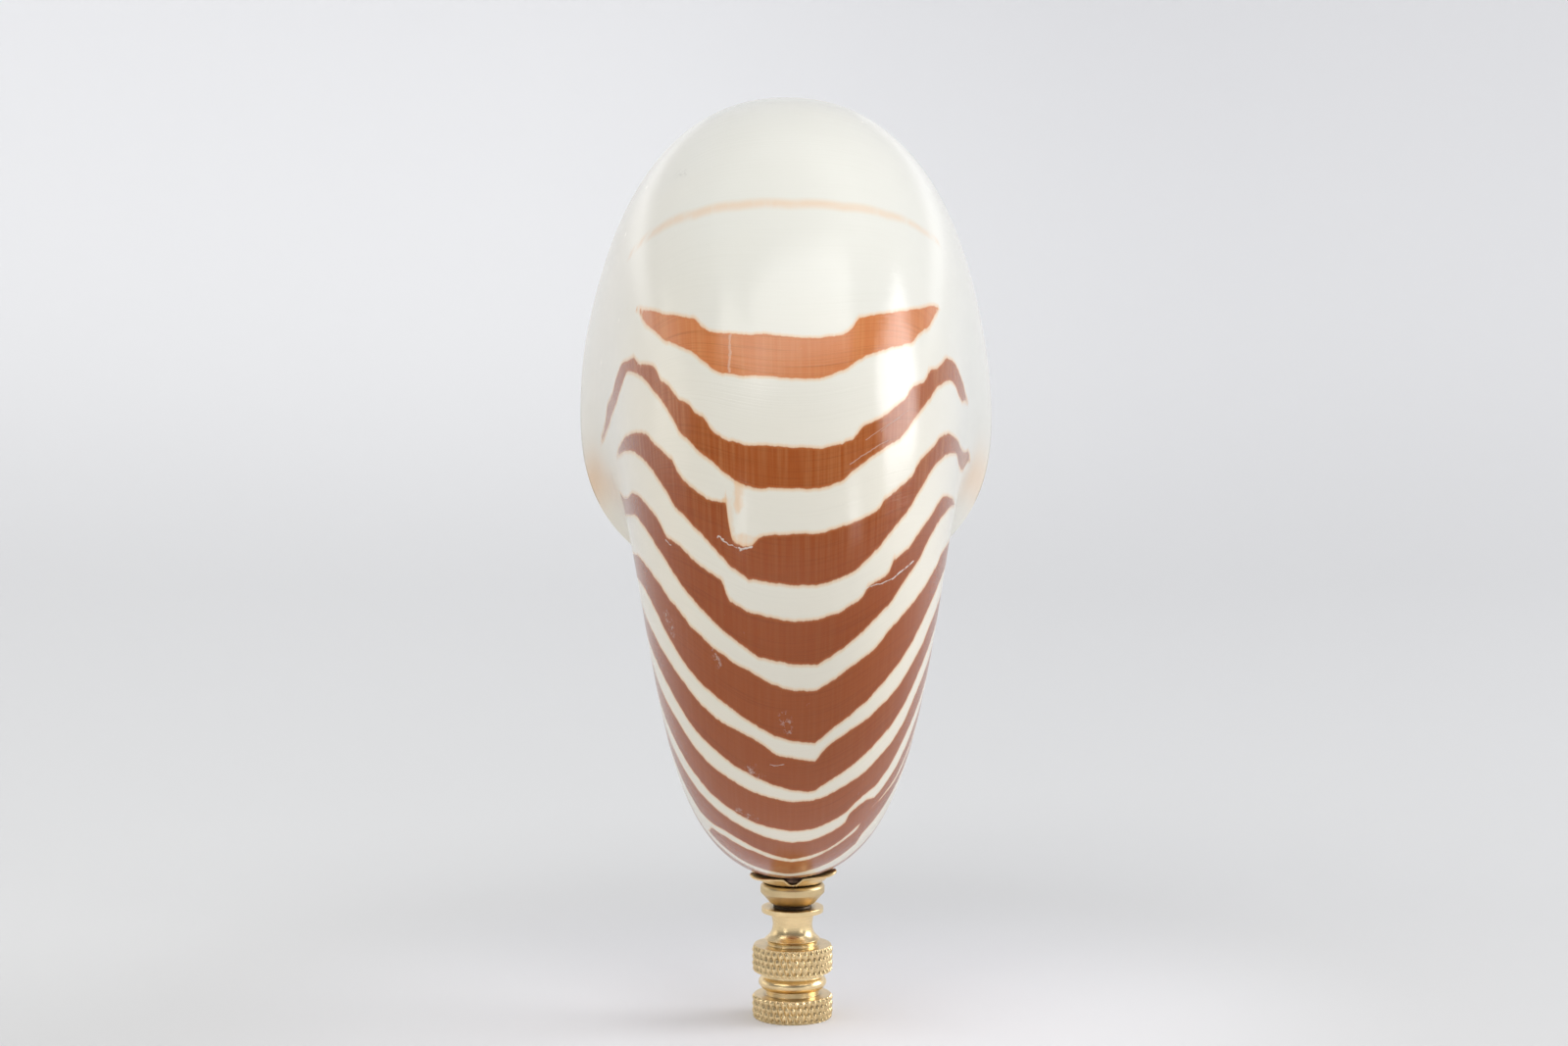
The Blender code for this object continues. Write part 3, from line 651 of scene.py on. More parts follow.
def base_corners():
    """Corners of the base from its stud hole, down the outside, and up inside the harp's socket."""
    chamfer = EDGE_CHAMFER
    hole_floor = BASE_TOP - STUD_ROOT
    neck_foot = (FLARE_RADIUS, COLLET_TOP)
    neck_top = (NECK_RADIUS, NECK_WAIST)
    corners = [
        (0.0, hole_floor),
        (STUD_HOLE_RADIUS, hole_floor),
        (STUD_HOLE_RADIUS, BASE_TOP),
        (FLANGE_RADIUS, BASE_TOP),
        (FLANGE_RADIUS, FLANGE_FOOT),
        (NECK_RADIUS + chamfer, FLANGE_FOOT),
        neck_top,
    ]
    corners += arc(neck_top, neck_foot, -NECK_BOW * (FLANGE_FOOT - COLLET_TOP), 16)
    corners += [
        (COLLET_RADIUS, COLLET_TOP - chamfer),
        (COLLET_RADIUS, TOP_RING_TOP),
        (KNURL_RADIUS - chamfer, TOP_RING_TOP),
        (KNURL_RADIUS, TOP_RING_TOP - chamfer),
        (KNURL_RADIUS, TOP_RING_FOOT + chamfer),
        (KNURL_RADIUS - chamfer, TOP_RING_FOOT),
        (UPPER_GROOVE_RADIUS, TOP_RING_FOOT),
        (UPPER_GROOVE_RADIUS, BEAD_TOP),
    ]
    bead_foot = (UPPER_GROOVE_RADIUS, BEAD_FOOT)
    corners += arc((UPPER_GROOVE_RADIUS, BEAD_TOP), bead_foot, BEAD_RADIUS - UPPER_GROOVE_RADIUS, 14)
    corners += [
        (LOWER_GROOVE_RADIUS, BEAD_FOOT),
        (LOWER_GROOVE_RADIUS, FOOT_RING_TOP),
        (KNURL_RADIUS - chamfer, FOOT_RING_TOP),
        (KNURL_RADIUS, FOOT_RING_TOP - chamfer),
        (KNURL_RADIUS, chamfer),
        (KNURL_RADIUS - chamfer, 0.0),
        (SOCKET_RADIUS + chamfer, 0.0),
        (SOCKET_RADIUS, chamfer),
        (SOCKET_RADIUS, SOCKET_DEPTH),
        (0.0, SOCKET_DEPTH),
    ]
    return corners


def triangle_wave(turns):
    """1 at whole turns, falling evenly to 0 half way between them."""
    return np.abs(2 * (turns % 1.0) - 1)


def base_relief(radius, height, angle):
    """Diamond knurl on the two rings, and a thread in the socket.

    The knurl is cut by two sets of helical grooves. A point's depth is the deeper of their two triangle
    waves, with the tops cut flat, and fades out at the rings' chamfers. The thread is a triangle wave
    of height less the turn.
    """
    turns = angle / (2 * math.pi) * KNURL_TEETH
    left = triangle_wave(turns + height / KNURL_STEP)
    right = triangle_wave(turns - height / KNURL_STEP)
    top = np.minimum(left * LEFT_FLAT, right * RIGHT_FLAT).clip(0.0, 1.0)
    on_ring = ((radius - KNURL_RADIUS + EDGE_CHAMFER) / EDGE_CHAMFER).clip(0.0, 1.0) ** CUT_FADE_POWER
    cut = KNURL_DEPTH * (1 - top) * on_ring * (height > 0.02)
    on_bore = np.abs(radius - SOCKET_RADIUS) < 0.01
    in_socket = on_bore * (height > EDGE_CHAMFER) * (height < SOCKET_DEPTH - THREAD_END)
    thread = SOCKET_THREAD_DEPTH * triangle_wave(height / SOCKET_PITCH - angle / (2 * math.pi))
    return radius - cut - thread * in_socket


def build_base(finish):
    """Turned base. Its value "cut" is the depth of the knurl or thread at each point, in millimetres."""
    fine_radii = (KNURL_RADIUS, SOCKET_RADIUS)
    profile = softened(base_corners(), EDGE_ROUNDING, PROFILE_STEP, fine_radii, FINE_STEP)
    patch = turn_profile(profile, KNURL_TEETH * AROUND_TOOTH, base_relief)
    cut = profile[:, :1] - np.hypot(patch[..., 0], patch[..., 1])
    make_piece("turned_base", [patch], finish, "knurled_base", [("cut", [cut])], sharp=50.0)


COLLAR_FOOT_RADIUS = 3.45
COLLAR_CONE_HEIGHT = 1.76
COLLAR_EDGE = 0.55
COLLAR_EDGE_BULGE = 0.2
COLLAR_SIDES = 144


def build_collar(finish):
    """Seat collar under the cup: a rounded rim over a cone."""
    foot = foot_of("seat_collar")
    top = top_of("seat_collar")
    rim = reach_of("seat_collar")
    shoulder = (rim - COLLAR_EDGE, top)
    corners = [(STUD_HOLE_RADIUS, foot), (STUD_HOLE_RADIUS, top), shoulder]
    corners += arc(shoulder, (rim, top - COLLAR_EDGE), COLLAR_EDGE_BULGE * COLLAR_EDGE, 8)
    corners += [(rim, foot + COLLAR_CONE_HEIGHT), (COLLAR_FOOT_RADIUS, foot), (STUD_HOLE_RADIUS, foot)]
    profile = softened(corners, radius=0.09, spacing=0.2)
    make_piece("turned_collar", [turn_profile(profile, COLLAR_SIDES)], finish, "seat_collar")


STUD_PITCH = 0.60
STUD_THREAD_DEPTH = 0.16
STUD_SIDES = 96
RING_GAP = 0.02


def build_stud(finish):
    """Stud through cup, collar and base, with the dark threaded ring that shows between the last two."""
    low = foot_of("threaded_stud")
    high = top_of("threaded_stud")
    ring_radius = reach_of("threaded_stud")
    ring_low = BASE_TOP + RING_GAP
    ring_high = foot_of("seat_collar") - RING_GAP
    corners = [
        (0.0, high),
        (STUD_RADIUS, high),
        (STUD_RADIUS, ring_high),
        (ring_radius, ring_high),
        (ring_radius, ring_low),
        (STUD_RADIUS, ring_low),
        (STUD_RADIUS, low),
        (0.0, low),
    ]

    def relief(radius, height, angle):
        """Helical thread on the ring's outside, as deep as a triangle wave of height less the turn."""
        outside = radius > ring_radius - 0.01
        wave = triangle_wave(height / STUD_PITCH - angle / (2 * math.pi))
        return radius - outside * STUD_THREAD_DEPTH * wave

    profile = softened(corners, radius=0.04, spacing=0.06)
    make_piece("stud_thread", [turn_profile(profile, STUD_SIDES, relief)], finish, "threaded_stud")


# Petalled cup and its cement.
CUP_THICKNESS = 0.45
CUP_FLOOR_TOP = top_of("threaded_stud")
CUP_SEAT_RADIUS = 4.2
CUP_TOUCH_RADIUS = 6.6
CUP_TIP_RADIUS = 10.0
CUP_NOTCH_RADIUS = 4.4
CUP_PETALS = 5
PETAL_POWER = 2.1
PETAL_BEND = 0.4
PETAL_BEND_FROM = 7.6
CUP_CLEARANCE = 0.3
CUP_COLUMNS = 64 * CUP_PETALS
CUP_ROWS = 40
CEMENT_RADIUS = 5.4
CEMENT_COLUMNS = 96
CEMENT_ROWS = 16
CEMENT_GAP = 0.05
CEMENT_PINCH = 0.06
# Waves of the cement's edge: height as a share of its radius, how many go round, and their start.
CEMENT_WAVES = ((0.03, 3, 0.0), (0.02, 7, 1.0))
RIM_ROWS = 6
UNDERSIDE_FROM = -150.0
UNDERSIDE_TO = -20.0
HALVINGS = 36


def shell_underside(x, y):
    """Height of the shell's outer skin straight above points near the base's axis.

    The angle whose point lies there is found by halving the range that holds it, again and again.
    """
    low = np.full(x.shape, UNDERSIDE_FROM)
    high = np.full(x.shape, UNDERSIDE_TO)
    for _ in range(HALVINGS):
        angle = (low + high) / 2
        point = underside_point(x, angle)
        behind = point[..., 1] > y
        low = np.where(behind, angle, low)
        high = np.where(behind, high, angle)
    return underside_point(x, (low + high) / 2)[..., 2]


def underside_point(x, angle):
    """Points of the shell's outer skin at each angle, at distance x from the base's axis."""
    radius = whorl_radius(angle)
    reach = (np.abs(x - SHELL_SIDE_SHIFT) / (WIDTH_SHARE * radius)).clip(0.0, 1.0)
    turn = np.arcsin(reach ** (SECTION_POWER / 2))
    rho = WIDEST_SHARE + (1 - WIDEST_SHARE) * np.cos(turn) ** (2 / SECTION_POWER)
    return from_axis(x - SHELL_SIDE_SHIFT, rho * radius, angle)


def petal_edge(turn):
    """Radius of the cup's edge in plan at each turn from the front, where the gap between two petals is.

    It runs from the notches to the tips as a power of a cosine.
    """
    wave = np.abs(np.cos(CUP_PETALS * (turn + math.pi / CUP_PETALS) / 2))
    return CUP_NOTCH_RADIUS + (CUP_TIP_RADIUS - CUP_NOTCH_RADIUS) * wave ** PETAL_POWER


def cup_height(x, y):
    """Top of the cup's sheet: a flat floor, then petals that lie along the shell, their tips bent away.

    Floor and petals are blended by the smooth step, and the tips fall by the square of a ramp.
    """
    radius = np.hypot(x, y)
    share = ((radius - CUP_SEAT_RADIUS) / (CUP_TOUCH_RADIUS - CUP_SEAT_RADIUS)).clip(0.0, 1.0)
    blend = share * share * (3 - 2 * share)
    bent = ((radius - PETAL_BEND_FROM) / (CUP_TIP_RADIUS - PETAL_BEND_FROM)).clip(0.0, 1.0)
    bend = PETAL_BEND * bent ** 2
    return CUP_FLOOR_TOP + (shell_underside(x, y) - CUP_CLEARANCE - CUP_FLOOR_TOP) * blend - bend


def build_cup(finish):
    """Thin stamped cup: its upper face, its rounded edge and its lower face as one closed sheet."""
    around = full_turn(CUP_COLUMNS)
    share = shares(CUP_ROWS)[:, None]
    reach = petal_edge(around)[None, :]
    radius = STUD_HOLE_RADIUS + (reach - STUD_HOLE_RADIUS) * share
    x = radius * np.sin(around)
    y = -radius * np.cos(around)
    top = np.stack([x, y, cup_height(x, y)], axis=-1)
    normal = grid_normals(top)
    low = top - normal * CUP_THICKNESS
    turn = np.linspace(0.0, math.pi, RIM_ROWS + 1)[:, None, None]
    outward = np.cross(np.roll(top[-1], -1, axis=0) - np.roll(top[-1], 1, axis=0), normal[-1])
    outward = outward / np.linalg.norm(outward, axis=-1, keepdims=True)
    outward[0] = outward[-1] = (outward[1] + outward[-2]) / 2
    middle = (top[-1] + low[-1]) / 2
    half = CUP_THICKNESS / 2
    edge = middle + normal[-1] * half * np.cos(turn) + outward * half * np.sin(turn)
    bore = np.stack([top[0], low[0]])
    make_piece("petal_cup", [top, edge, low, bore], finish, "petal_cap", sharp=70.0)


def grid_normals(points):
    """Unit normals of a grid that closes on itself along its columns, turned to point upwards."""
    along = np.gradient(points, axis=0)
    across = (np.roll(points[:, :-1], -1, axis=1) - np.roll(points[:, :-1], 1, axis=1)) / 2
    across = np.concatenate([across, across[:, :1]], axis=1)
    normal = np.cross(along, across)
    normal /= np.linalg.norm(normal, axis=-1, keepdims=True)
    return normal * np.sign(normal[..., 2:])


def build_cement(finish):
    """Lump of dark cement between cup and shell, its edge moved in and out by cosines."""
    around = full_turn(CEMENT_COLUMNS)
    reach = 1.0
    for height, count, start in CEMENT_WAVES:
        reach = reach + height * np.cos(count * around + start)
    radius = CEMENT_RADIUS * reach * shares(CEMENT_ROWS)[:, None]
    x = radius * np.sin(around)
    y = -radius * np.cos(around)
    high = shell_underside(x, y) - CEMENT_GAP
    low = np.minimum(cup_height(x, y) + CEMENT_GAP, high - 2 * CEMENT_GAP)
    top = np.stack([x, y, high], axis=-1)
    foot = np.stack([x, y, low], axis=-1)
    rise = shares(RIM_ROWS)[:, None, None]
    rim = foot[-1] + (top[-1] - foot[-1]) * rise
    rim[..., :2] *= 1 - CEMENT_PINCH * np.sin(math.pi * rise)
    make_piece("brown_cement", [foot, rim, top], finish, "cement_bed", sharp=50.0)


# Materials.


class Nodes:
    """Short hand for building a material's node tree."""

    def __init__(self, name):
        self.material = bpy.data.materials.new(name)
        self.material.use_nodes = True
        self.tree = self.material.node_tree
        self.shader = self.tree.nodes["Principled BSDF"]

    def add(self, kind, links=(), **settings):
        made = self.tree.nodes.new(kind)
        for key, value in settings.items():
            setattr(made, key, value)
        for socket, value in dict(links).items():
            self.feed(made.inputs[socket], value)
        return made

    def feed(self, socket, value):
        if hasattr(value, "is_output"):
            self.tree.links.new(value, socket)
        else:
            socket.default_value = value

    def set(self, **inputs):
        for name, value in inputs.items():
            self.feed(self.shader.inputs[name.replace("_", " ")], value)

    def attribute(self, name):
        return self.add("ShaderNodeAttribute", attribute_name=name).outputs["Fac"]

    def math(self, operation, a, b=0.0, c=0.0):
        node = self.add("ShaderNodeMath", {0: a, 1: b, 2: c}, operation=operation)
        return node.outputs[0]

    def times(self, a, b):
        return self.math("MULTIPLY", a, b)

    def plus(self, a, b):
        return self.math("ADD", a, b)

    def minus(self, a, b):
        return self.math("SUBTRACT", a, b)

    def most(self, a, b):
        return self.math("MAXIMUM", a, b)

    def sway(self, value, amount):
        """A value about 0.5 turned into one about 0, times the amount."""
        return self.times(self.minus(value, 0.5), amount)

    def vectors(self, operation, a, b, output="Vector"):
        return self.add("ShaderNodeVectorMath", {0: a, 1: b}, operation=operation).outputs[output]

    def ramp(self, value, low, high, smooth=True):
        """0 below low, 1 above high, eased between them."""
        kind = "SMOOTHSTEP" if smooth else "LINEAR"
        links = {"Value": value, "From Min": low, "From Max": high}
        return self.add("ShaderNodeMapRange", links, interpolation_type=kind).outputs["Result"]

    def mix(self, share, a, b, blend="MIX"):
        node = self.add("ShaderNodeMix", data_type="RGBA", blend_type=blend)
        self.feed(node.inputs["Factor"], share)
        self.feed(node.inputs["A"], a if hasattr(a, "is_output") else (*a, 1.0))
        self.feed(node.inputs["B"], b if hasattr(b, "is_output") else (*b, 1.0))
        return node.outputs["Result"]

    def vector(self, x, y, z):
        return self.add("ShaderNodeCombineXYZ", {"X": x, "Y": y, "Z": z}).outputs[0]

    def noise(self, vector, scale, detail=2.0, roughness=0.5):
        links = {"Vector": vector, "Scale": scale, "Detail": detail, "Roughness": roughness}
        return self.add("ShaderNodeTexNoise", links).outputs["Fac"]

    def place(self):
        return self.add("ShaderNodeTexCoord").outputs["Object"]

    def bump(self, height, distance, strength=1.0, normal=None):
        links = {"Height": height, "Distance": distance, "Strength": strength}
        if normal is not None:
            links["Normal"] = normal
        return self.add("ShaderNodeBump", links).outputs["Normal"]


IVORY_WARM = (0.86, 0.81, 0.69)
IVORY_COOL = (0.765, 0.76, 0.70)
BAND_ORANGE = (0.60, 0.200, 0.065)
BAND_BROWN = (0.30, 0.057, 0.003)
FRINGE_ORANGE = (0.80, 0.46, 0.20)
SCAR_IVORY = (0.80, 0.76, 0.70)
NACRE_WHITE = (0.88, 0.875, 0.85)
NACRE_ROSE = (0.86, 0.75, 0.74)
NACRE_GREEN = (0.72, 0.82, 0.79)
THREAD_GREY = (0.62, 0.60, 0.52)
THREAD_BROWN = (0.11, 0.02, 0.003)
SMUDGE_GREY = (0.30, 0.29, 0.26)
# Dark stud colour: tarnish, and painted shade for the gap between base and collar.
STUD_TARNISH_AND_SHADE = (0.085, 0.060, 0.040)
THREAD_BRASSY = (0.24, 0.17, 0.09)
GLUE_DARK = (0.065, 0.032, 0.020)
GLUE_LUMP_HIGHLIGHT = (0.22, 0.13, 0.09)

# Small scars in the polish: (share across, angle) of both ends, and half their width in millimetres.
PALE_SCARS = (
    ((-0.178, 15.0), (-0.150, 13.9), 0.16),
    ((-0.150, 13.9), (-0.118, 13.2), 0.12),
    ((-0.118, 13.2), (-0.092, 13.3), 0.17),
    ((0.165, 7.7), (0.25, 9.2), 0.10),
    ((0.25, 9.2), (0.325, 12.4), 0.17),
    ((-0.345, 16.3), (-0.325, 15.2), 0.14),
    ((-0.055, -20.9), (-0.02, -20.7), 0.08),
)
FAINT_SCRATCHES = (
    ((0.12, 24.6), (0.22, 29.3), 0.10),
    ((0.16, 28.4), (0.25, 33.2), 0.08),
    ((0.20, 30.2), (0.275, 35.0), 0.08),
    ((-0.133, 37.4), (-0.130, 42.4), 0.30),
)
# Worn patches, dull and paler, where the polish has broken up into scratches.
WORN_SPOTS = (
    ((-0.200, -2.0), (-0.190, -3.8), 1.0),
    ((-0.105, -22.5), (-0.085, -24.0), 1.5),
    ((-0.020, -11.5), (-0.012, -14.5), 1.1),
    ((-0.150, -34.0), (-0.110, -34.5), 1.6),
    ((-0.370, 3.0), (-0.345, 0.0), 1.2),
)
NOTCH_STAINS = (
    ((-0.149, 19.6), (-0.147, 15.6), 1.3),
    ((-0.143, 14.6), (-0.085, 13.9), 1.2),
    ((-0.122, 19.0), (-0.119, 22.0), 1.1),
)
GREY_SMUDGE = ((-0.236, 79.5), (-0.222, 77.0), 1.0)
MM_PER_DEGREE = FRONT_RADIUS * math.radians(1.0)
MARK_CORE = 0.35


def line_mark(n, spot, start, end, half_width):
    """1 near the line between two places of the spread-out skin, easing to 0 at half_width from it.

    The distance is from the spot to its nearest point on the line: start plus the way to the end
    times the share of it that the spot has passed, held between 0 and 1.
    """
    first = Vector((ACROSS_MM * start[0], MM_PER_DEGREE * start[1], 0.0))
    last = Vector((ACROSS_MM * end[0], MM_PER_DEGREE * end[1], 0.0))
    way = last - first
    passed = n.vectors("SUBTRACT", spot, first)
    share = n.ramp(n.vectors("DOT_PRODUCT", passed, way / way.length_squared, "Value"), 0.0, 1.0, False)
    nearest = n.add("ShaderNodeVectorMath", {0: way, "Scale": share}, operation="SCALE").outputs["Vector"]
    gap = n.vectors("DISTANCE", passed, nearest, "Value")
    return n.ramp(gap, half_width, MARK_CORE * half_width)


def line_marks(n, spot, lines):
    """The strongest of several line marks."""
    strongest = line_mark(n, spot, *lines[0])
    for line in lines[1:]:
        strongest = n.most(strongest, line_mark(n, spot, *line))
    return strongest


def shell_finish():
    """Polished shell: ivory with brown bands, ragged at their upper edges, and nacre inside."""
    n = Nodes("polished_nautilus_shell")
    growth = n.attribute("growth")
    across = n.attribute("across")
    band = n.attribute("band")
    place = n.place()
    wander = n.sway(n.noise(place, 650.0, 2.0), 1.3)
    along = n.plus(n.times(n.attribute("angle"), MM_PER_DEGREE), wander)
    spread = n.vector(n.plus(n.times(across, ACROSS_MM), wander), along, 0.0)

    def streaks(by_growth, by_across, shift, detail, rough=0.5):
        """Noise drawn out along the coil or across it, by its scale in each direction."""
        spread_out = n.vector(n.times(growth, by_growth), n.times(across, by_across), shift)
        return n.noise(spread_out, 1.0, detail, rough)

    # Fine threads that run with the growth lines, and combs that run along the coil.
    threads = streaks(3.2, 2.6, 0.0, 3.0, 0.65)
    combs = streaks(0.05, 95.0, 3.0, 2.0, 0.6)
    teeth = streaks(0.09, 30.0, 9.0, 2.0, 0.6)
    clouds = n.noise(place, 28.0, 2.0)
    younger = n.ramp(growth, 14.0, 40.0)
    ragged = n.plus(band, n.sway(teeth, 0.55))
    ragged = n.plus(ragged, n.sway(combs, 0.26))
    inside = n.ramp(ragged, -0.12, 0.14)
    fringe = n.ramp(ragged, -0.65, 0.0)
    outside_only = n.minus(1.0, n.attribute("nacre"))
    age_and_left_shade = n.plus(n.ramp(growth, -10.0, 75.0), n.sway(clouds, 0.8))
    # The left flank is pushed to the warm ivory: painted shade, a warm tint for the side away from the
    # light.
    age_and_left_shade = n.minus(age_and_left_shade, n.times(n.ramp(across, -0.12, -0.50), 0.75))
    ivory = n.mix(n.ramp(age_and_left_shade, 0.0, 1.0, False), IVORY_WARM, IVORY_COOL)
    ivory = n.mix(n.times(n.ramp(threads, 0.40, 0.85), 0.10), ivory, THREAD_GREY)
    mark = n.times(n.ramp(n.attribute("growth_mark"), -0.9, 0.8), n.ramp(teeth, 0.0, 0.5))
    stain = n.times(n.attribute("blush"), n.ramp(clouds, 0.1, 0.6))
    stain = n.most(stain, n.times(line_marks(n, spread, NOTCH_STAINS), n.ramp(teeth, 0.1, 0.9)))
    ivory = n.mix(n.times(mark, 0.42), ivory, FRINGE_ORANGE)
    ivory = n.mix(n.times(stain, 0.80), ivory, FRINGE_ORANGE)
    speckle = n.noise(place, 1500.0, 3.0, 0.7)
    smudge = n.times(line_mark(n, spread, *GREY_SMUDGE), n.ramp(speckle, 0.45, 0.70))
    ivory = n.mix(n.times(smudge, 0.25), ivory, SMUDGE_GREY)
    brown = n.mix(n.attribute("band_depth"), BAND_ORANGE, BAND_BROWN)
    combed = n.times(n.ramp(combs, 0.35, 0.75), n.math("MULTIPLY_ADD", younger, 0.32, 0.08))
    brown = n.mix(combed, brown, n.mix(0.45, brown, FRINGE_ORANGE))
    brown = n.mix(n.times(n.ramp(threads, 0.45, 0.75), 0.60), brown, n.mix(0.45, brown, THREAD_BROWN))
    edged = n.mix(n.times(fringe, 0.60), ivory, FRINGE_ORANGE)
    rim = n.times(n.ramp(ragged, 0.45, 0.05), inside)
    painted = n.mix(inside, edged, n.mix(n.times(rim, 0.30), brown, BAND_ORANGE))
    worn = n.times(line_marks(n, spread, WORN_SPOTS), n.ramp(speckle, 0.50, 0.66))
    scars = n.times(line_marks(n, spread, PALE_SCARS), n.ramp(speckle, 0.30, 0.52))
    scratched = n.times(line_marks(n, spread, FAINT_SCRATCHES), 0.25)
    broken = n.most(n.times(worn, 0.38), n.times(scars, 0.75))
    broken = n.most(broken, scratched)
    painted = n.mix(broken, painted, SCAR_IVORY)
    # Nacre with slow bands of rose and green along the growth lines.
    sheen = streaks(0.035, 2.2, 0.0, 3.0)
    pearl = n.mix(n.ramp(sheen, 0.38, 0.50), NACRE_ROSE, NACRE_WHITE)
    pearl = n.mix(n.ramp(sheen, 0.52, 0.66), pearl, NACRE_GREEN)
    colour = n.mix(outside_only, pearl, n.mix(outside_only, ivory, painted))
    wear = n.plus(n.ramp(n.noise(place, 420.0, 4.0, 0.7), 0.62, 0.80), broken)
    roughness = n.plus(0.15, n.times(n.plus(n.times(combs, 0.10), wear), 0.18))
    relief = n.bump(threads, 0.00006, 0.45)
    relief = n.bump(combs, 0.00003, 0.30, relief)
    relief = n.bump(broken, 0.00010, 0.5, relief)
    n.set(Base_Color=colour, Roughness=roughness, Normal=relief)
    n.set(Metallic=n.times(n.attribute("nacre"), 0.35), IOR=1.47)
    return n.material


BRASS_PALE = (0.93, 0.715, 0.40)
# Tarnish in soft clouds, and painted shade in the hollows.
BRASS_TARNISH_AND_SHADE = (0.52, 0.40, 0.21)
BRASS_GROOVE_SHADE = (0.44, 0.31, 0.15)


def brass_finish(name, grooves, roughness, tone=1.0):
    """Satin brass: fine turning marks round the axis, and a darker tarnish in soft clouds.

    Hollows and the knurl's grooves are painted darker: painted shade. A piece without the value "cut" reads
    it as 0.
    """
    n = Nodes(name)
    place = n.place()
    height = n.add("ShaderNodeSeparateXYZ", {0: place}).outputs["Z"]
    rings = n.noise(n.vector(0.0, 0.0, n.times(height, grooves)), 1.0, 3.0, 0.7)
    clouds = n.noise(place, 260.0, 3.0, 0.6)
    grain = n.noise(place, 5200.0, 2.0)
    # A tone below 1 darkens the pale brass as painted shade; the collar, under the cup, has one.
    pale = tuple(tone * channel for channel in BRASS_PALE)
    colour = n.mix(n.ramp(clouds, 0.35, 0.75), pale, n.mix(0.35, pale, BRASS_TARNISH_AND_SHADE))
    # Painted shade: the brass turns darker where ambient occlusion finds a hollow.
    hollow = n.add("ShaderNodeAmbientOcclusion", {"Distance": 0.0012}, samples=6).outputs["AO"]
    colour = n.mix(n.ramp(hollow, 0.75, 0.25), colour, BRASS_TARNISH_AND_SHADE)
    # Painted shade: darker brass down in the knurl's grooves and the socket's thread, by their depth.
    colour = n.mix(n.times(n.ramp(n.attribute("cut"), 0.10, KNURL_DEPTH), 0.40), colour, BRASS_GROOVE_SHADE)
    shine = n.plus(roughness, n.sway(rings, 0.22))
    relief = n.bump(rings, 0.00002, 0.5)
    relief = n.bump(grain, 0.000008, 0.35, relief)
    n.set(Base_Color=colour, Roughness=shine, Normal=relief, Metallic=1.0)
    return n.material


def thread_finish():
    """Dark thread: tarnished metal, and painted shade for the gap under the collar; brassy scuffs in
    patches.
    """
    n = Nodes("dark_thread_tarnish_and_shade")
    place = n.place()
    scuffs = n.ramp(n.noise(place, 1500.0, 3.0, 0.7), 0.55, 0.75)
    n.set(Base_Color=n.mix(scuffs, STUD_TARNISH_AND_SHADE, THREAD_BRASSY), Metallic=0.7)
    n.set(Roughness=n.plus(0.42, n.times(scuffs, 0.15)))
    return n.material


def cement_finish():
    """Dark brown cement, glossy and lumpy, with paler colour on its lumps as painted highlight."""
    n = Nodes("brown_glue")
    place = n.place()
    lumps = n.noise(place, 700.0, 3.0, 0.6)
    # Paler colour on the tops of the lumps: painted highlight.
    n.set(Base_Color=n.mix(n.ramp(lumps, 0.45, 0.75), GLUE_DARK, GLUE_LUMP_HIGHLIGHT))
    n.set(Roughness=n.ramp(lumps, -0.3, 1.2), Normal=n.bump(lumps, 0.0003, 0.8))
    return n.material


# Studio: a round pale bowl of floor and wall, soft boxes and the camera.
CAMERA_PLACE = (-0.00874, -0.53070, 0.13212)
CAMERA_PITCH = 5.8
CAMERA_YAW = -0.8
CAMERA_LENS = 78.75
STUDIO_PALE = (0.95, 0.95, 0.96)
STUDIO_NEAR = (0.69, 0.695, 0.70)
STUDIO_PAINTED_LIGHT_AT_FOOT = (0.93, 0.945, 0.98)
STUDIO_AHEAD = (0.78, 0.78, 0.78)
STUDIO_DIM = (0.42, 0.42, 0.43)
STUDIO_RIGHT = (0.88, 0.88, 0.885)
STUDIO_SIDES = 96
BOWL_FLAT = 250.0
BOWL_REACH = 2200.0
BOWL_RISE = 900.0
BOWL_POWER = 2.4
WALL_TOP = 2800.0
WALL_BEND = 350.0
WALL_POWER = 1.6
WORLD_COLOUR = (0.95, 0.965, 1.0, 1.0)
WORLD_STRENGTH = 0.76
SENSOR_WIDTH = 36.0


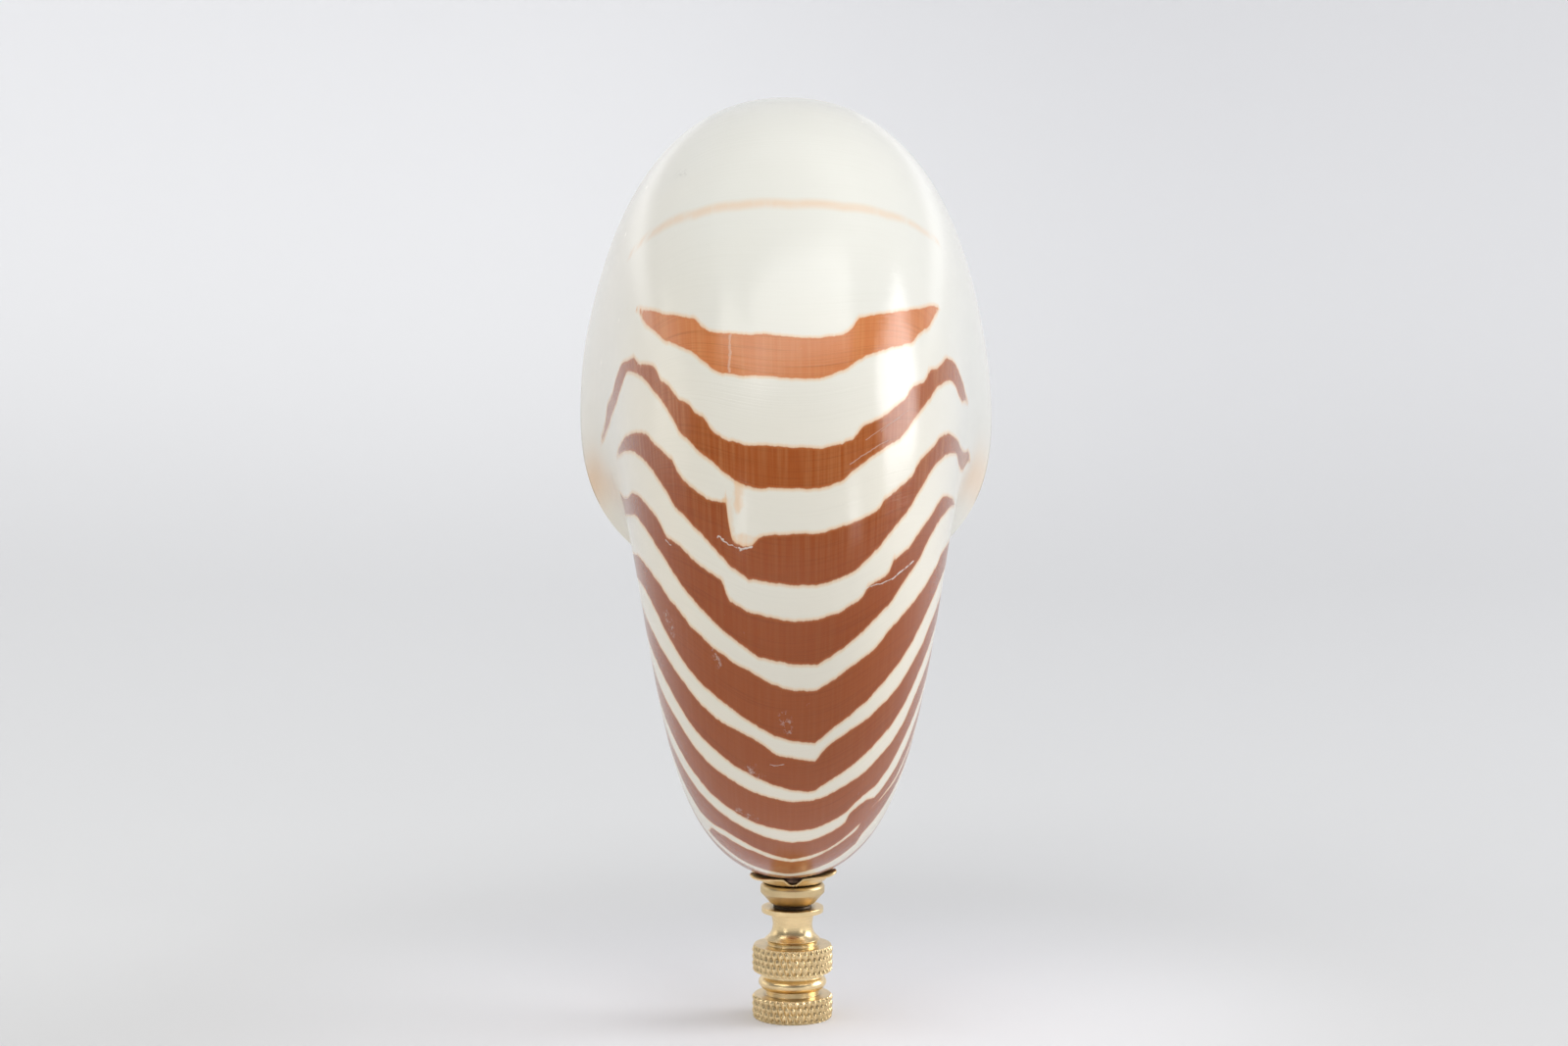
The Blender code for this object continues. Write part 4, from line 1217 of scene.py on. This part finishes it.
def build_studio():
    """Round bowl: flat near the object, rising as a power of the distance, and then an upright wall.

    Its paper is pale where the camera looks, and dimmer behind the camera, where gloss would mirror it.
    """
    radius = np.concatenate([np.linspace(0.0, BOWL_FLAT, 6), np.linspace(BOWL_FLAT, BOWL_REACH, 48)[1:]])
    height = BOWL_RISE * ((radius - BOWL_FLAT).clip(0.0) / (BOWL_REACH - BOWL_FLAT)) ** BOWL_POWER
    curve = shares(19)[1:]
    bend_out = BOWL_REACH + WALL_BEND * np.sin(curve * math.pi / 2)
    bend_up = BOWL_RISE + (WALL_TOP - BOWL_RISE) * curve ** WALL_POWER
    profile = np.concatenate([np.stack([radius, height], axis=-1), np.stack([bend_out, bend_up], axis=-1)])
    patch = turn_profile(profile, STUDIO_SIDES)
    mesh = bpy.data.meshes.new("studio")
    corners = quads(patch.shape[0], patch.shape[1], 0)
    mesh.from_pydata((patch.reshape(-1, 3) * MM).tolist(), [], corners.tolist())
    mesh.update()
    n = Nodes("studio_paper")
    parts = n.add("ShaderNodeSeparateXYZ", {0: n.place()})
    side = parts.outputs["X"]
    ahead = parts.outputs["Y"]
    distance = n.math("SQRT", n.plus(n.times(side, side), n.times(ahead, ahead)))
    far_side = n.ramp(n.math("DIVIDE", ahead, n.most(distance, 0.01)), -0.15, 0.75)
    lit = n.most(far_side, n.ramp(distance, 1.5, 0.7))
    tone = n.times(n.noise(n.place(), 2.0, 2.0), 0.04)
    # Paler paper round the object's foot: painted light that fills in its shadow.
    floor = n.mix(n.ramp(distance, 0.11, 0.0), STUDIO_NEAR, STUDIO_PAINTED_LIGHT_AT_FOOT)
    floor = n.mix(n.ramp(ahead, 0.0, -0.25), floor, STUDIO_AHEAD)
    paper = n.mix(n.plus(n.ramp(distance, 0.15, 1.6, False), tone), floor, STUDIO_PALE)
    paper = n.mix(n.ramp(side, -0.15, 0.25), paper, STUDIO_RIGHT, "MULTIPLY")
    n.set(Base_Color=n.mix(lit, STUDIO_DIM, paper), Roughness=1.0, Specular_IOR_Level=0.0)
    mesh.materials.append(n.material)
    mesh.shade_smooth()
    studio = bpy.data.objects.new("studio", mesh)
    bpy.context.scene.collection.objects.link(studio)


def soft_box(name, azimuth, elevation, distance, width, height, radiance, colour=(1.0, 1.0, 1.0), aim=None):
    """Panel that faces the object, or the point aim.

    Azimuth 0 is in front and 90 on the right; the panel's power is its radiance times its area times pi.
    """
    light = bpy.data.lights.new(name, "AREA")
    light.shape = "RECTANGLE"
    light.size = width
    light.size_y = height
    light.energy = radiance * math.pi * width * height
    light.color = colour
    made = bpy.data.objects.new(name, light)
    turn = math.radians(azimuth)
    lift = math.radians(elevation)
    way = Vector((math.sin(turn) * math.cos(lift), -math.cos(turn) * math.cos(lift), math.sin(lift)))
    made.location = LIT_POINT + way * distance
    away = way if aim is None else made.location - aim
    made.rotation_euler = away.to_track_quat("Z", "Y").to_euler()
    made.visible_camera = False
    bpy.context.scene.collection.objects.link(made)


LIT_POINT = Vector((0.0, 0.0, 0.09))
BACKDROP_POINT = Vector((0.0, 1.9, 0.25))


def build_lights():
    """Two large windows, small front panels for the brass, a wide fill from above and a pale world."""
    soft_box("right_window", 98, 18, 0.90, 0.52, 0.42, 5.2, (0.99, 0.99, 1.0))
    soft_box("left_front_window", -54, 46, 1.00, 0.70, 0.24, 2.6, (1.0, 0.97, 0.88))
    soft_box("right_front_window", 52, 2, 1.10, 0.20, 0.30, 4.2)
    soft_box("left_front_low", -42, 2, 1.10, 0.18, 0.26, 3.9)
    soft_box("front_fill", 18, 66, 1.30, 1.60, 0.80, 2.25, (1.0, 0.985, 0.95))
    soft_box("left_side", -110, 4, 1.10, 0.60, 0.70, 0.7, (1.0, 0.96, 0.86))
    soft_box("back_low_left", -150, 4, 1.50, 1.30, 0.50, 0.5)
    soft_box("back_low_right", 150, 4, 1.50, 1.30, 0.50, 0.5)
    soft_box("backdrop_light", 180, 38, 0.90, 1.50, 0.50, 0.72, aim=BACKDROP_POINT)
    world = bpy.data.worlds.new("studio_air")
    bpy.context.scene.world = world
    world.use_nodes = True
    sky = world.node_tree.nodes["Background"]
    sky.inputs["Color"].default_value = WORLD_COLOUR
    sky.inputs["Strength"].default_value = WORLD_STRENGTH


def build_camera():
    """Camera in front of the object, looking a little down and to the right."""
    lens = bpy.data.cameras.new("camera")
    lens.lens = CAMERA_LENS
    lens.sensor_width = SENSOR_WIDTH
    lens.clip_start = 0.01
    camera = bpy.data.objects.new("camera", lens)
    camera.location = CAMERA_PLACE
    camera.rotation_euler = Euler((math.radians(90.0 - CAMERA_PITCH), 0.0, math.radians(CAMERA_YAW)))
    bpy.context.scene.collection.objects.link(camera)
    bpy.context.scene.camera = camera


bpy.context.scene.view_settings.view_transform = "Standard"
build_camera()
build_lights()
build_studio()
build_shell(shell_finish())
build_base(brass_finish("satin_brass", 9000.0, 0.27))
# The collar's brass is painted darker: painted shade under the cup.
build_collar(brass_finish("satin_brass_collar_painted_shade", 12000.0, 0.36, 0.78))
build_cup(brass_finish("satin_brass_cup", 400.0, 0.30))
build_stud(thread_finish())
build_cement(cement_finish())
